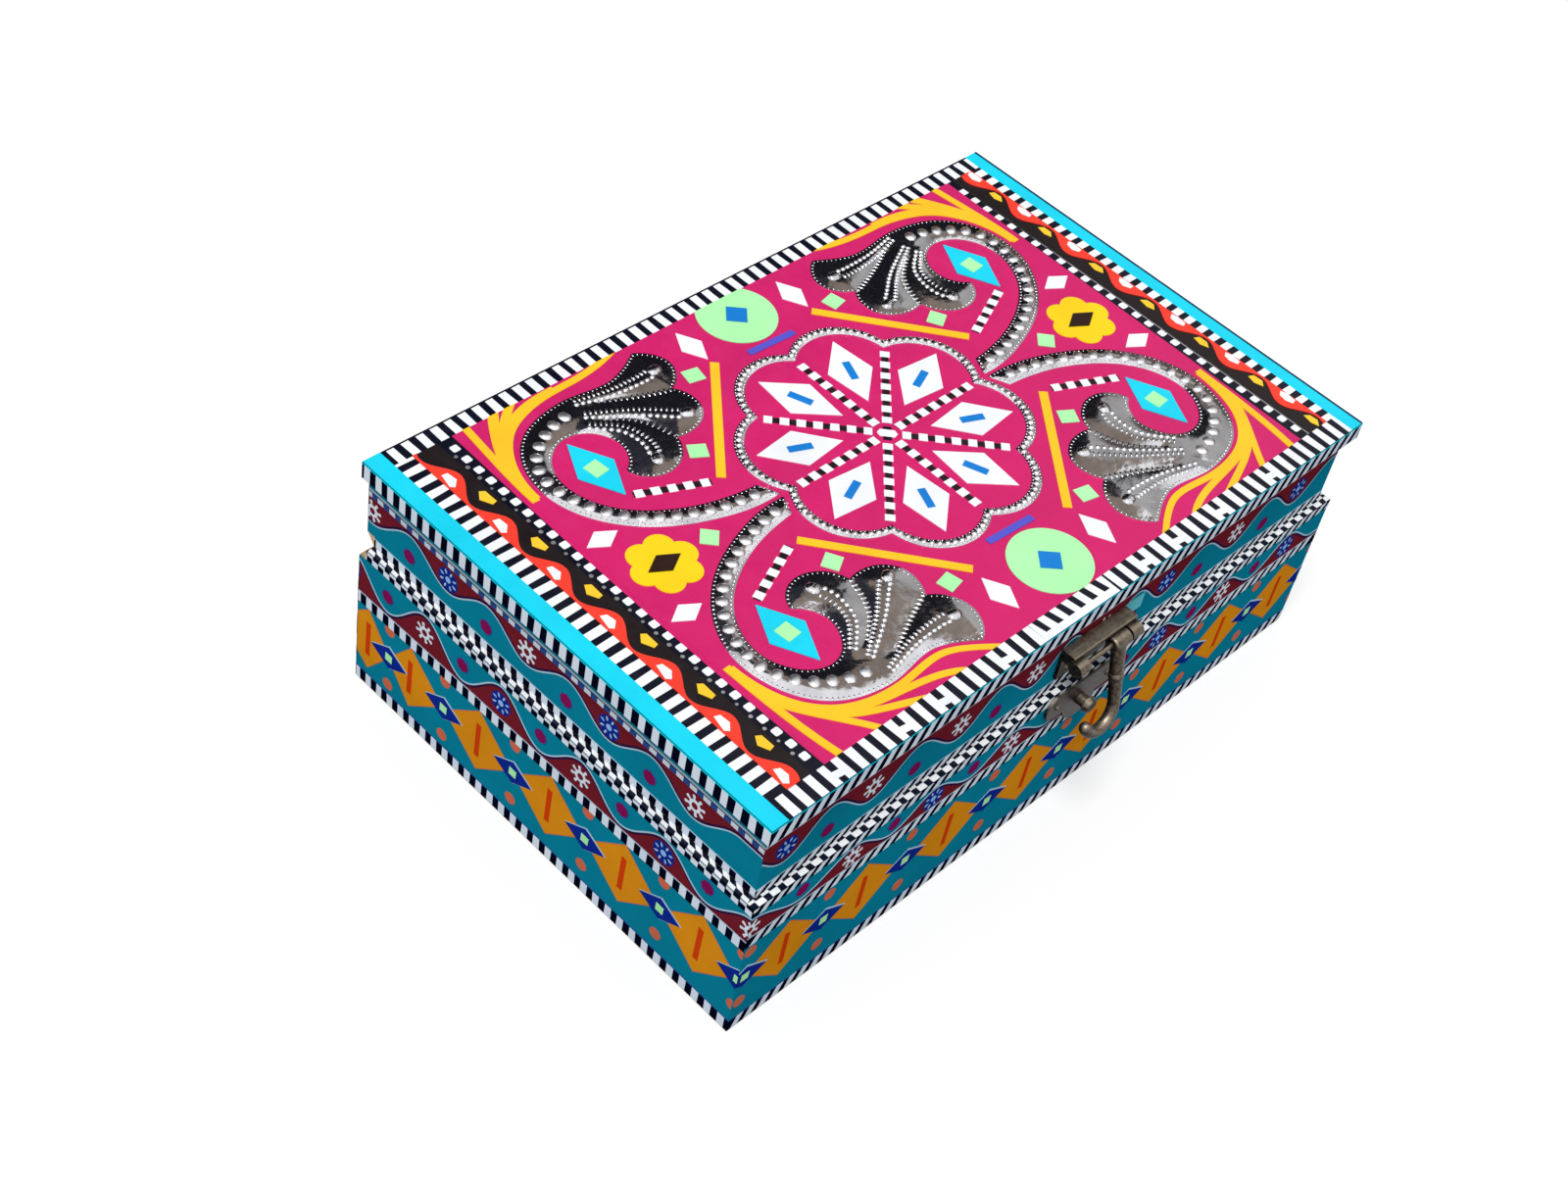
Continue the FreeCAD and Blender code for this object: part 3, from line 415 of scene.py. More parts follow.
def shifted(corners, u, v):
    return [(u + du, v + dv) for du, dv in corners]


def polar(u, v, radius, angle):
    return u + radius * math.cos(angle), v + radius * math.sin(angle)


def circle(u, v, radius, count):
    return [polar(u, v, radius, 2 * math.pi * i / count) for i in range(count)]


def rhombus(u, v, half_u, half_v):
    return [(u - half_u, v), (u, v - half_v), (u + half_u, v), (u, v + half_v)]


def gear_flower(sheet, u, v, level):
    """White flower with blunt petals round a dark eye."""
    pitch = 2 * math.pi / GEAR_PETALS
    for i in range(GEAR_PETALS):
        petal = [polar(u, v, GEAR_RADIUS * share, (i + GEAR_TURN + turn) * pitch) for turn, share in PETAL]
        sheet.clipped(petal, "white", level)
    sheet.clipped(circle(u, v, GEAR_RADIUS * GEAR_CORE, 16), "white", level + 1)
    sheet.clipped(circle(u, v, GEAR_RADIUS * GEAR_EYE, 12), "maroon", level + 2)


def dot_flower(sheet, u, v, level):
    """Deep blue patch with a bright middle and a ring of pale dashes."""
    sheet.clipped(circle(u, v, DOT_FLOWER_RADIUS, 12), "deep_blue", level)
    sheet.clipped(circle(u, v, DOT_FLOWER_RADIUS * DOT_FLOWER_EYE, 10), "pale_blue", level + 1)
    for i in range(DASHES):
        du, dv = polar(0, 0, DOT_FLOWER_RADIUS, 2 * math.pi * (i + 0.5) / DASHES)
        dash = [(u + out * du - side * dv, v + out * dv + side * du) for out, side in DASH]
        sheet.clipped(dash, "ice" if i % PALE_DASH else "pale_blue", level + 1)


# Bands on the sides: heights above the floor, and places along each face from its left corner

FILM_THICKNESS = 0.25
SIDE_BAR_PERIOD = 5.1
WAVE_PERIOD = 33.1
WAVE_FINENESS = 1.3
WAVE_SHARPNESS = 2.0
WAVE_NECK = 1.6
WAVE_OUTLINE = 0.5
WAVE_SHADE = 0.9
WAVE_SHADE_INSET = 0.7
BASE_CREST = 51.4
BASE_PATCH_SHARE = 0.62
LID_WAVE = (73.8, 64.0)
LID_PATCH_SHARE = 0.97
LID_DASH_ROW = (73.8, 75.6)
LID_LINE = (76.0, 76.9)
BASE_TOP_ROW = (52.2, 54.3)
BASE_EDGE_ROW = (54.3, 55.5)
MIDDLE_ROW_HEIGHT = 4.1
BASE_BOTTOM_ROW = (0.3, 4.8)
BOTTOM_LINE = 0.5
LID_BOTTOM_ROW = (55.8, 58.6)
ROW_LINE = 0.35
LID_INSET = 2.7
DIAMOND_HALF = (14.6, 12.3)
DIAMOND_RIM = 0.4
DIAMOND_SLIP = ((-1.1, -6.9), (0.9, -7.0), (1.1, 6.8), (-0.9, 7.1))
BLUE_RHOMBUS_HALF = (8.2, 4.4)
BLUE_RHOMBUS_RIM = 0.3
GREEN_SQUARE = ((-1.5, -1.5), (1.4, -1.6), (1.6, 1.4), (-1.4, 1.6))
DOT_RISE = 11.5
DOT_RADIUS = 2.2
PATCH_RADIUS = 2.35
PATCH_RIM = 0.3
BARE_PATCH = (9.0, 30.0)
BARE_PATCH_HEIGHTS = (66.5, 72.6)

# Middle of the diamonds, foot of the row of bars over them, and how far both climb along the face
BASE_BANDS = {
    "front": (23.0, 37.7, -0.008),
    "left": (22.2, 34.9, 0.0247),
    "back": (22.5, 36.6, 0.0),
    "right": (22.5, 36.2, 0.0),
}
# A white bar's place in each row, along X or on the ends along Y, and how far the front's bars lean
WHITE_BARS = {
    "base_bottom": (-102.9, -57.5, 2.0),
    "base_middle": (-112.7, 4.4, 3.0),
    "base_top": (-41.1, 2.35, 1.6),
    "base_edge": (-39.8, -0.5, 0.9),
    "rim_outer": (-41.9, -0.2, 0.0),
    "rim_inner": (-44.3, -1.9, 0.0),
    "lid_bottom": (-41.7, -0.8, 2.8),
    "panel_edge": (-113.9, -18.2, 2.6),
}


def steps(first, period, count):
    return [first + period * i for i in range(count)]


ACROSS = {"front": (1, 0, 0), "back": (-1, 0, 0), "left": (0, -1, 0), "right": (0, 1, 0)}
DIAMONDS = {
    "front": [17.4, 47.7, 83.1, 117.2, 147.3, 180.7, 210.8, 240.3],
    "left": [5.0, *steps(24.2, 30.5, 5)],
    "back": steps(15.9, 31.8, 8),
    "right": steps(20.0, 30.5, 5),
}
BASE_CRESTS = {
    "front": [0.0, 38.6, 70.7, 103.4, 136.8, 170.2, 201.7, 234.4],
    "left": steps(-3.5, WAVE_PERIOD, 6),
    "back": steps(10.0, WAVE_PERIOD, 8),
    "right": steps(14.0, WAVE_PERIOD, 5),
}
LID_CRESTS = {
    "front": [11.6, 43.9, 78.4, 109.6, 138.8, 168.0, 201.5, 233.0],
    "left": steps(4.4, WAVE_PERIOD, 5),
    "back": steps(12.0, WAVE_PERIOD, 8),
    "right": steps(8.0, WAVE_PERIOD, 5),
}
BASE_FLOWERS = {"front": "wwbwwbwb", "left": "bwbwbw", "back": "bwbwbwbw", "right": "wbwbw"}
LID_FLOWERS = {"front": "bwwwwbwb", "left": "wbwbw", "back": "bwbwbwbw", "right": "wbwbw"}


def swell(u, crests):
    """Share of the wave's height at a place: 1 on the crests, 0 half way between them."""
    near = min(crests, key=lambda crest: abs(crest - u))
    gaps = [abs(crest - near) for crest in crests if (crest - near) * (u - near) > 0]
    half = min(gaps, default=WAVE_PERIOD) / 2
    if abs(u - near) >= half:
        return 0.0
    return math.cos(math.pi / 2 * (u - near) / half) ** WAVE_SHARPNESS


def wave_line(sheet, crests, foot, crest):
    """Points of a wave from its foot to its crests, which stay level where the foot climbs."""
    count = int(sheet.length / WAVE_FINENESS)
    places = [sheet.length * i / count for i in range(count + 1)]
    return [(u, foot + (crest - sheet.climb(u) - foot) * swell(u, crests)) for u in places]


def wave_band(sheet, crests, flowers, foot, crest, patch_share):
    """Maroon lobes with a light and a dark outline, a flower in each and a patch between them."""
    up = math.copysign(1.0, crest - foot)
    line = wave_line(sheet, crests, foot + up * WAVE_NECK, crest)
    for (ua, va), (ub, vb) in zip(line, line[1:]):
        sheet.piece([(ua, foot), (ub, foot), (ub, vb), (ua, va)], "maroon", 1)
    sheet.line([(u, v - up * WAVE_SHADE_INSET) for u, v in line], WAVE_SHADE, "plum", 2)
    sheet.line(line, WAVE_OUTLINE, "ice", 3)
    for u, kind in zip(crests, flowers):
        draw = gear_flower if kind == "w" else dot_flower
        draw(sheet, u, foot + (crest - sheet.climb(u) - foot) / 2, 3)
    for before, after in zip(crests, crests[1:]):
        patch(sheet, (before + after) / 2, foot + (crest - foot) * patch_share)


def patch(sheet, u, v):
    """Small purple patch with a light rim."""
    sheet.clipped(circle(u, v, PATCH_RADIUS + PATCH_RIM, 8), "steel_blue", 4)
    sheet.clipped(circle(u, v, PATCH_RADIUS, 8), "purple", 5)


def diamond_band(sheet, places, middle):
    """Orange diamonds with a red slip, joined by blue rhombi with a green square; dots between them."""
    half_u, half_v = DIAMOND_HALF
    blue_u, blue_v = BLUE_RHOMBUS_HALF
    rim_u, rim_v = blue_u + BLUE_RHOMBUS_RIM, blue_v + BLUE_RHOMBUS_RIM
    pitch = places[-1] - places[-2]
    ends = [places[0] - pitch, *places, places[-1] + pitch]
    for before, u, after in zip(ends, places, ends[2:]):
        left = min(half_u, (u - before) / 2)
        right = min(half_u, (after - u) / 2)
        for rim, colour, level in ((DIAMOND_RIM, "peach", 1), (0.0, "side_orange", 2)):
            outline = [(u - left - rim, middle), (u, middle - half_v - rim),
                       (u + right + rim, middle), (u, middle + half_v + rim)]
            sheet.clipped(outline, colour, level)
        sheet.clipped(shifted(DIAMOND_SLIP, u, middle), "red_orange", 3)
    for u in [(before + after) / 2 for before, after in zip(ends, ends[1:])]:
        rim = rhombus(u + BLUE_RHOMBUS_RIM, middle + BLUE_RHOMBUS_RIM, rim_u, rim_v)
        sheet.clipped(rim, "ice", 3)
        sheet.clipped(rhombus(u, middle, blue_u, blue_v), "deep_blue", 4)
        sheet.clipped(shifted(GREEN_SQUARE, u, middle), "light_green", 5)
        for height in (middle - DOT_RISE, middle + DOT_RISE):
            sheet.clipped(circle(u, height, DOT_RADIUS, 12), "peach", 3)


def side_sheet(node, side):
    """Sheet on a film node from its left corner on the floor's level, and the film's two heights."""
    low, high = box_mm(node)
    across = Vector(ACROSS[side])
    out = across.cross(Vector((0, 0, 1)))
    origin = Vector((0, 0, 0))
    for axis in range(2):
        if across[axis]:
            origin[axis] = low[axis] if across[axis] > 0 else high[axis]
        else:
            origin[axis] = (high[axis] if out[axis] > 0 else low[axis]) - FILM_THICKNESS * out[axis]
    length = abs(across.dot(high - low))
    return Sheet(origin, across, (0, 0, 1), side_films, length), low.z, high.z


def seam_row_ends(side, length):
    """Ends of what lies next to the seam: it stops short of the groove at the back."""
    stop = box_mm("base_left_film")[1].y - box_mm("base_rim_tapes")[1].y
    return (stop if side == "left" else 0.0), (length - stop if side == "right" else length)


def wrap_outline(side, length, far, near, groove):
    """Outline of a wrap; near is its edge at the seam, and groove its edge at the back seam."""
    start, end = seam_row_ends(side, length)
    if side == "left":
        return [(0, far), (length, far), (length, near), (start, near), (start, groove), (0, groove)]
    if side == "right":
        return [(0, far), (length, far), (length, groove), (end, groove), (end, near), (0, near)]
    return [(0, far), (length, far), (length, near), (0, near)]


def side_bars(sheet, ends, heights, row, level=1, dark="navy", **look):
    """Row of bars at the places where that row has them."""
    front_place, end_place, lean = WHITE_BARS[row]
    white = sheet.along(front_place if sheet.across.x else end_place)
    if sheet.across.x > 0:
        look["lean"] = lean
    bar_row(sheet, *ends, *heights, SIDE_BAR_PERIOD, white, level, dark, **look)


def base_side(side):
    """Film wrap of one base face: diamond band, wave band and rows of bars."""
    node = f"base_{side}_film"
    sheet, low, high = side_sheet(node, side)
    run = (0, sheet.length)
    groove = box_mm("base_back_film")[1].z
    sheet.piece(wrap_outline(side, sheet.length, low, high, groove), "teal", 0)
    side_bars(sheet, run, BASE_BOTTOM_ROW, "base_bottom")
    bottom = BASE_BOTTOM_ROW[1]
    sheet.rectangle(*run, bottom, bottom + BOTTOM_LINE, "steel_blue", 1)
    middle, foot, sheet.slope = BASE_BANDS[side]
    sheet.pivot = sheet.length / 2
    diamond_band(sheet, DIAMONDS[side], middle)
    top = foot + MIDDLE_ROW_HEIGHT
    side_bars(sheet, run, (foot, top), "base_middle", 4)
    sheet.rectangle(*run, top, top + ROW_LINE, "ice", 4)
    wave_band(sheet, BASE_CRESTS[side], BASE_FLOWERS[side], top, BASE_CREST, BASE_PATCH_SHARE)
    sheet.slope = 0.0
    if side != "back":
        ends = seam_row_ends(side, sheet.length)
        side_bars(sheet, ends, BASE_TOP_ROW, "base_top", 5)
        side_bars(sheet, ends, BASE_EDGE_ROW, "base_edge", 5)
    sheet.build(f"base_{side}_wrap", "base", "film_side", node)


def lid_side(side):
    """Film wrap of one lid face: pale line, hanging wave and a row of bars, with dashes on the ends."""
    node = f"lid_{side}_film"
    sheet, low, high = side_sheet(node, side)
    run = (0, sheet.length)
    groove = box_mm("lid_back_film")[0].z
    sheet.piece(wrap_outline(side, sheet.length, high, low, groove), "teal", 0)
    crests = [u - LID_INSET for u in LID_CRESTS[side]]
    foot, crest = LID_WAVE
    on_end = side in ("left", "right")
    wave_band(sheet, crests, LID_FLOWERS[side], foot if on_end else LID_LINE[0], crest, LID_PATCH_SHARE)
    if on_end:
        side_bars(sheet, run, LID_DASH_ROW, "lid_bottom", 3, "steel_blue")
        sheet.rectangle(*run, LID_DASH_ROW[1], LID_LINE[0], "navy", 3)
    sheet.rectangle(*run, *LID_LINE, "ice" if on_end else "lilac", 3)
    if side == "front":
        start, end = BARE_PATCH
        sheet.rectangle(sheet.along(start), sheet.along(end), *BARE_PATCH_HEIGHTS, "bare_cyan", 6)
    if side != "back":
        ends = seam_row_ends(side, sheet.length)
        side_bars(sheet, ends, LID_BOTTOM_ROW, "lid_bottom", 3)
        top = LID_BOTTOM_ROW[1]
        sheet.rectangle(*ends, top, top + ROW_LINE, "ice", 3)
    sheet.build(f"lid_{side}_wrap", "lid", "film_side", node)


for side_name in ACROSS:
    base_side(side_name)
    lid_side(side_name)


# Tapes on the rim and round the top panel's edge

RIM_WIDTH = 2.6
RIM_FRONT_SPLIT = 1.75
RIM_END_SPLIT = 1.3
RIM_BRIGHT_SHARE = 0.56
FOLD_HEIGHT = 0.7
FOLD_INSET = 0.1

# Rows on the rim's ends: near and far limit from the outer edge, and lean
RIM_END_ROWS = {"rim_outer": (0.0, RIM_END_SPLIT, 0.7), "rim_inner": (RIM_END_SPLIT, RIM_WIDTH, 1.7)}


def rim_tapes():
    """Two rows of squares on the ledge that the lid leaves free."""
    low, high = box_mm("base_rim_tapes")
    front = along_x(low.z)
    split = low.y + RIM_FRONT_SPLIT
    inner = low.y + RIM_WIDTH
    # The front's outer squares take the brighter white: painted light where the key light falls on the ledge
    side_bars(front, (low.x, high.x), (low.y, split), "rim_outer", bright="lit_white", share=RIM_BRIGHT_SHARE)
    side_bars(front, (low.x, high.x), (split, inner), "rim_inner")
    front.build("rim_tape_front", "base", "film_check", "base_rim_tapes")
    ends = along_y(low.z)
    for edge, inward in ((-low.x, -1), (-high.x, 1)):
        for row, (near, far, lean) in RIM_END_ROWS.items():
            heights = sorted((edge + inward * near, edge + inward * far))
            side_bars(ends, (inner, high.y), heights, row, lean=inward * lean)
    ends.build("rim_tape_ends", "base", "film_check", "base_rim_tapes")


def edge_tapes():
    """Bars round the top panel's edge under the cyan fold of the top's film."""
    for side in ACROSS:
        sheet, low, high = side_sheet("top_edge_tapes", side)
        start = FILM_THICKNESS if side in ("left", "right") else 0.0
        run = (start, sheet.length - start)
        sheet.rectangle(*run, low, high, "navy", 0)
        side_bars(sheet, run, (low, high - FOLD_HEIGHT), "panel_edge")
        sheet.rectangle(*run, high - FOLD_HEIGHT, high - FOLD_INSET, "cyan", 1)
        sheet.build(f"edge_tape_{side}", "lid", "film_bars", "top_edge_tapes")


rim_tapes()
edge_tapes()


# Tapes on the top

TOP_BAR_PERIOD = 4.98
TOP_BAR_SHARE = 0.54
TOP_BAR_LOOK = {"level": 3, "swing": 0.2, "share": TOP_BAR_SHARE}
# Width of the painted shade along the top's back edge
BACK_EDGE_SHADE = 0.6
# Width of the painted shade along the cyan fold
CYAN_EDGE_SHADE = 0.8

# A white bar's place in the tape on each side
BACK_BAR = -98.0
FRONT_BAR = -8.4
LEFT_BAR = 19.9
RIGHT_BAR = 12.0

# Second length of tape at the front, and the front bars that run together
OVERLAY = (-22.0, 9.3)
OVERLAY_EDGE = 2.4
OVERLAY_PHASE = 0.6
OVERLAY_LEAN = 0.4
OVERLAY_SWING = 0.2
BRIDGES = (-19, -14, -11, -6, 6, 9, 13, 18)
BRIDGE_OUTLINE = ((-1.5, 0.0), (1.1, -0.3), (1.6, 1.9), (-1.2, 2.3))
BRIDGE_REACH = 1.5
BRIDGE_SWING = 0.4

field_low, field_high = box_mm("top_field_film")


def top_bar_tapes():
    low, high = box_mm("top_bar_tapes")
    ribbon_low, ribbon_high = box_mm("top_black_ribbons")
    long = along_x(low.z)
    bar_row(long, low.x, high.x, field_high.y, high.y, TOP_BAR_PERIOD, BACK_BAR, **TOP_BAR_LOOK)
    # Painted shade: a navy strip along the back edge of the top
    long.rectangle(low.x, high.x, high.y - BACK_EDGE_SHADE, high.y, "navy", 5)
    bar_row(long, low.x, high.x, low.y, field_low.y, TOP_BAR_PERIOD, FRONT_BAR, **TOP_BAR_LOOK)
    front_patches(long, low.y)
    long.build("bar_tapes_long", "lid", "film_bars", "top_bar_tapes")
    ends = along_y(low.z)
    for left, right, place in ((-ribbon_low.x, -low.x, LEFT_BAR), (-high.x, -ribbon_high.x, RIGHT_BAR)):
        bar_row(ends, field_low.y, field_high.y, left, right, TOP_BAR_PERIOD, place, **TOP_BAR_LOOK)
    ends.build("bar_tapes_ends", "lid", "film_bars", "top_bar_tapes")


def front_patches(sheet, edge):
    """Second length of tape over the hasp, set back from the edge, and bars that run together."""
    start, end = OVERLAY
    sheet.rectangle(start, end, edge, field_low.y, "white", 5)
    half = TOP_BAR_PERIOD * (1 - TOP_BAR_SHARE) / 2
    foot = edge + OVERLAY_EDGE
    for i in range(int((end - start) / TOP_BAR_PERIOD)):
        middle = start + (i + OVERLAY_PHASE) * TOP_BAR_PERIOD
        near = middle + OVERLAY_LEAN
        far = middle - OVERLAY_LEAN
        corners = [(rough(near - half, OVERLAY_SWING), foot), (rough(near + half, OVERLAY_SWING), foot),
                   (far + half, field_low.y), (far - half, field_low.y)]
        sheet.piece(corners, "navy", 6)
    for number in BRIDGES:
        bridge = FRONT_BAR + (number + 0.5) * TOP_BAR_PERIOD
        outline = shifted(BRIDGE_OUTLINE, bridge, edge + rough(BRIDGE_REACH, BRIDGE_SWING))
        sheet.piece(outline, "white", 5)


def cyan_edge():
    """Painted shade: a dark teal strip along the right edge of the top's film, where it folds over."""
    low, high = box_mm("top_cyan_tapes")
    sheet = along_y(high.z)
    sheet.rectangle(low.y, high.y, -high.x, -high.x + CYAN_EDGE_SHADE, "teal_shade", 0)
    sheet.build("cyan_tape_edge_shade", "lid", "film_cyan")


# Chequered tapes: a square's place along Y, the period and the place along X
LEFT_CHECKS = (28.9, 5.13, -103.3)
RIGHT_CHECKS = (20.5, 5.3, 107.0)
CHECK_HALF = 1.28
CHECK_FLAT = 0.93
CHECK_OUTLINE = ((-CHECK_HALF, -CHECK_FLAT), (-CHECK_FLAT, -CHECK_HALF), (CHECK_FLAT, -CHECK_HALF),
                 (CHECK_HALF, -CHECK_FLAT), (CHECK_HALF, CHECK_FLAT), (CHECK_FLAT, CHECK_HALF),
                 (-CHECK_FLAT, CHECK_HALF), (-CHECK_HALF, CHECK_FLAT))
CHECK_SWING = (0.15, 0.1)
SPECK_RADIUS = 0.6
SPECK_SWING = 0.15
SPECK_INSET = 0.3
SILVER_LINE = 0.55

# The field film's edges over these tapes: least overlap, and the left edge's bulge, middle and half length
OVERLAP = 0.05
LEFT_BOW = (1.5, -8.0, 80.0)
BOW_STEPS = 16
RIGHT_OVERLAP = 1.8


def check_tapes():
    """White squares on black with silver beside them, under the field film's bowed edge."""
    low, high = box_mm("top_check_tapes")
    start, end = field_low.y, field_high.y
    left, right = -field_low.x, -field_high.x
    sheet = along_y(low.z)
    sheet.rectangle(start, end, left, -low.x, "navy", 2)
    sheet.rectangle(start, end, -high.x, right, "navy", 2)
    along, across = CHECK_SWING
    for first, period, x in (LEFT_CHECKS, RIGHT_CHECKS):
        lowest = first - math.floor((first - CHECK_HALF - start) / period) * period
        for y in steps(lowest, period, int((end - start) / period) + 1):
            if y + CHECK_HALF < end:
                sheet.piece(shifted(CHECK_OUTLINE, rough(y, along), rough(-x, across)), "white", 3)
    first, period, x = LEFT_CHECKS
    lowest = first - math.floor((first - period - start) / period) * period - period / 2
    speck_x = -low.x - SPECK_RADIUS - SPECK_INSET
    for y in steps(lowest, period, int((end - lowest) / period)):
        sheet.piece(circle(y, speck_x, rough(SPECK_RADIUS, SPECK_SWING), 8), PEARL, 3)
    sheet.rectangle(start, end, -high.x, -high.x + SILVER_LINE, FOIL, 3)
    bulge, middle, reach = LEFT_BOW
    bow = [start + (end - start) * i / BOW_STEPS for i in range(BOW_STEPS + 1)]
    left_edge = [(y, left + max(OVERLAP, bulge * (1 - ((y - middle) / reach) ** 2))) for y in bow]
    sheet.piece([(end, left), (start, left), *left_edge], "magenta", 4)
    right_edge = [(end, right - RIGHT_OVERLAP), (start, right - OVERLAP)]
    sheet.piece([(start, right), (end, right), *right_edge], "magenta", 4)
    sheet.build("check_tapes", "lid", "film_check", "top_check_tapes")


SPOKE_PERIOD = 4.9
SPOKE_SHARE = 0.56
SPOKE_NECK = 0.45
SPOKE_SWING = 0.1
SHORTEST_SPOKE = 3 * SPOKE_PERIOD
HUB_OUTLINE = ((-1.5, -2.2), (0.0, -3.1), (1.5, -2.2), (1.5, 2.2), (0.0, 3.1), (-1.5, 2.2))
HUB_BAR = (1.4, 2.8, 1.25)
TINY = 1e-6


def welded(node):
    """A node's mesh with its doubled corners joined."""
    mesh = bmesh.new()
    mesh.from_mesh(nodes[node].data)
    bmesh.ops.remove_doubles(mesh, verts=mesh.verts, dist=TINY)
    return mesh


def loose_parts(node):
    """Corner points of each separate solid of a node, in millimetres."""
    mesh = welded(node)
    seen = set()
    found = []
    for start in mesh.verts:
        if start in seen:
            continue
        stack = [start]
        seen.add(start)
        points = []
        while stack:
            vert = stack.pop()
            points.append(vert.co / MM)
            for edge in vert.link_edges:
                other = edge.other_vert(vert)
                if other not in seen:
                    seen.add(other)
                    stack.append(other)
        found.append(np.array(points))
    mesh.free()
    return found


def chequer_strips(node, piece_name):
    """White cells joined by narrower black ones along every straight strip of a node."""
    for number, points in enumerate(loose_parts(node)):
        flat = points[:, :2]
        centre = (flat.min(0) + flat.max(0)) / 2
        spread = flat - centre
        direction = np.linalg.svd(spread, full_matrices=False)[2][0]
        along = spread @ direction
        across = spread @ np.array((-direction[1], direction[0]))
        level = points[:, 2].min()
        if node == "rosette_spokes" and along.max() - along.min() < SHORTEST_SPOKE:
            hub(centre, level)
            continue
        sheet = Sheet((*centre, level), (*direction, 0), (-direction[1], direction[0], 0))
        bar_row(sheet, along.min(), along.max(), across.min(), across.max(), SPOKE_PERIOD, 0.0, 3, "black",
                SPOKE_SWING, SPOKE_SHARE, neck=SPOKE_NECK)
        sheet.build(f"{piece_name}_{number}", "lid", "film_check", node)


def hub(centre, level):
    """White piece over the spokes' meeting point, between two dark bars of the spoke that runs through."""
    slant = math.sqrt(0.5)
    sheet = Sheet((*centre, level), (slant, slant, 0), (-slant, slant, 0))
    start, end, half = HUB_BAR
    for u0, u1 in ((start, end), (-end, -start)):
        sheet.rectangle(u0, u1, -half, half, "navy", 4)
    sheet.piece(HUB_OUTLINE, "white", 5)
    sheet.build("spoke_hub", "lid", "film_check", "rosette_spokes")


RIBBON_PERIOD = 21.8
LEFT_BAY = -2.7
RIGHT_BAY = 7.6
DROP_SWING = (0.2, 0.12)

# Drops on the ribbons: corners along the ribbon and inward from its outer edge
LEFT_WHITE = ((2.9, 1.6), (2.4, 3.4), (-0.7, 3.7), (-2.9, 1.7), (-1.8, 0.5))
LEFT_YELLOW = ((3.0, 5.8), (2.1, 7.4), (-2.6, 7.3), (-3.0, 5.6), (0.3, 4.0))
RIGHT_WHITE = ((3.2, 0.9), (1.2, 0.2), (-2.3, 0.6), (-2.6, 2.2), (-0.3, 3.2), (2.2, 2.6))
RIGHT_YELLOW = ((2.9, 3.7), (1.8, 1.9), (-1.2, 1.8), (-3.0, 3.6), (-0.3, 4.5))


def ribbon_drops():
    """White drops on the red ribbons' crests and yellow ones in the black bays between them."""
    low, high = box_mm("top_black_ribbons")
    red = along_y(box_mm("top_red_ribbons")[1].z)
    black = along_y(high.z)
    count = int((field_high.y - field_low.y) / RIBBON_PERIOD) + 2
    for outer, inward, shift, white, yellow in ((-low.x, -1, LEFT_BAY, LEFT_WHITE, LEFT_YELLOW),
                                                (-high.x, 1, RIGHT_BAY, RIGHT_WHITE, RIGHT_YELLOW)):
        for i in range(count):
            bay = field_high.y + shift - i * RIBBON_PERIOD
            drop(black, bay, outer, inward, yellow, "gold", 3)
            drop(red, bay - RIBBON_PERIOD / 2, outer, inward, white, "white", 0)
    red.build("ribbon_drops_white", "lid", "film_white")
    black.build("ribbon_drops_yellow", "lid", "film_yellow")


def drop(sheet, place, outer, inward, corners, colour, level):
    """Cut drop, unless it would reach past the ribbon's end."""
    reach = max(abs(along) for along, depth in corners)
    if place + reach > field_high.y or place - reach < field_low.y:
        return
    swing, depth_swing = DROP_SWING
    outline = [(place + rough(along, swing), outer + inward * rough(depth, depth_swing))
               for along, depth in corners]
    sheet.piece(outline, colour, level)


top_bar_tapes()
cyan_edge()
check_tapes()
chequer_strips("rosette_spokes", "spoke")
chequer_strips("check_dashes", "dash")
ribbon_drops()


# Embossed foil: the relief runs from ridges down to valleys and edges, with beads set on it

ROSETTE_RADIUS = 46.6
RELIEF_EDGE = 0.25
STEM_RISE = 0.6
RIB_RISE = 0.5
BORDER_RISE = 0.4
RELIEF_FINENESS = 0.8
EDGE_CLEARANCE = 0.6 * RELIEF_FINENESS
BEAD_ROOM = 0.85
BEAD_SINK = 0.05
FINE_BEAD = 0.7
CURVE_STEPS = 12
UPWARD = 0.9
DELAUNAY_GAP = 1e-5
RIB_BARE_POINTS = 4
TIP_POINTS = 2
RIB_ROW_ASIDE = (0.8, 1.5)
SCROLL_TICK_INSET = 0.7
BORDER_TICK_INSET = 0.4

# Beads: spacing, then half lengths along and across the row, and rise
STEM_PEARL = (4.9, 1.8, 2.1, 0.62)
RIB_BEAD = (2.0, 0.8, 0.8, 0.5)
RIB_TOOTH = (1.6, 0.42, 0.95, 0.45)
TIP_BEAD = (1.0, 2.0, 2.0, 0.72)
TOOTH = (1.75, 0.45, 1.3, 0.36)
EDGE_TICK = (1.5, 0.28, 0.6, 0.24)
BORDER_BEAD = (2.3, 0.8, 1.05, 0.55)
BORDER_TICK = (1.3, 0.32, 0.4, 0.3)
MIRROR_FACE = 0
PEARL_FACE = 1

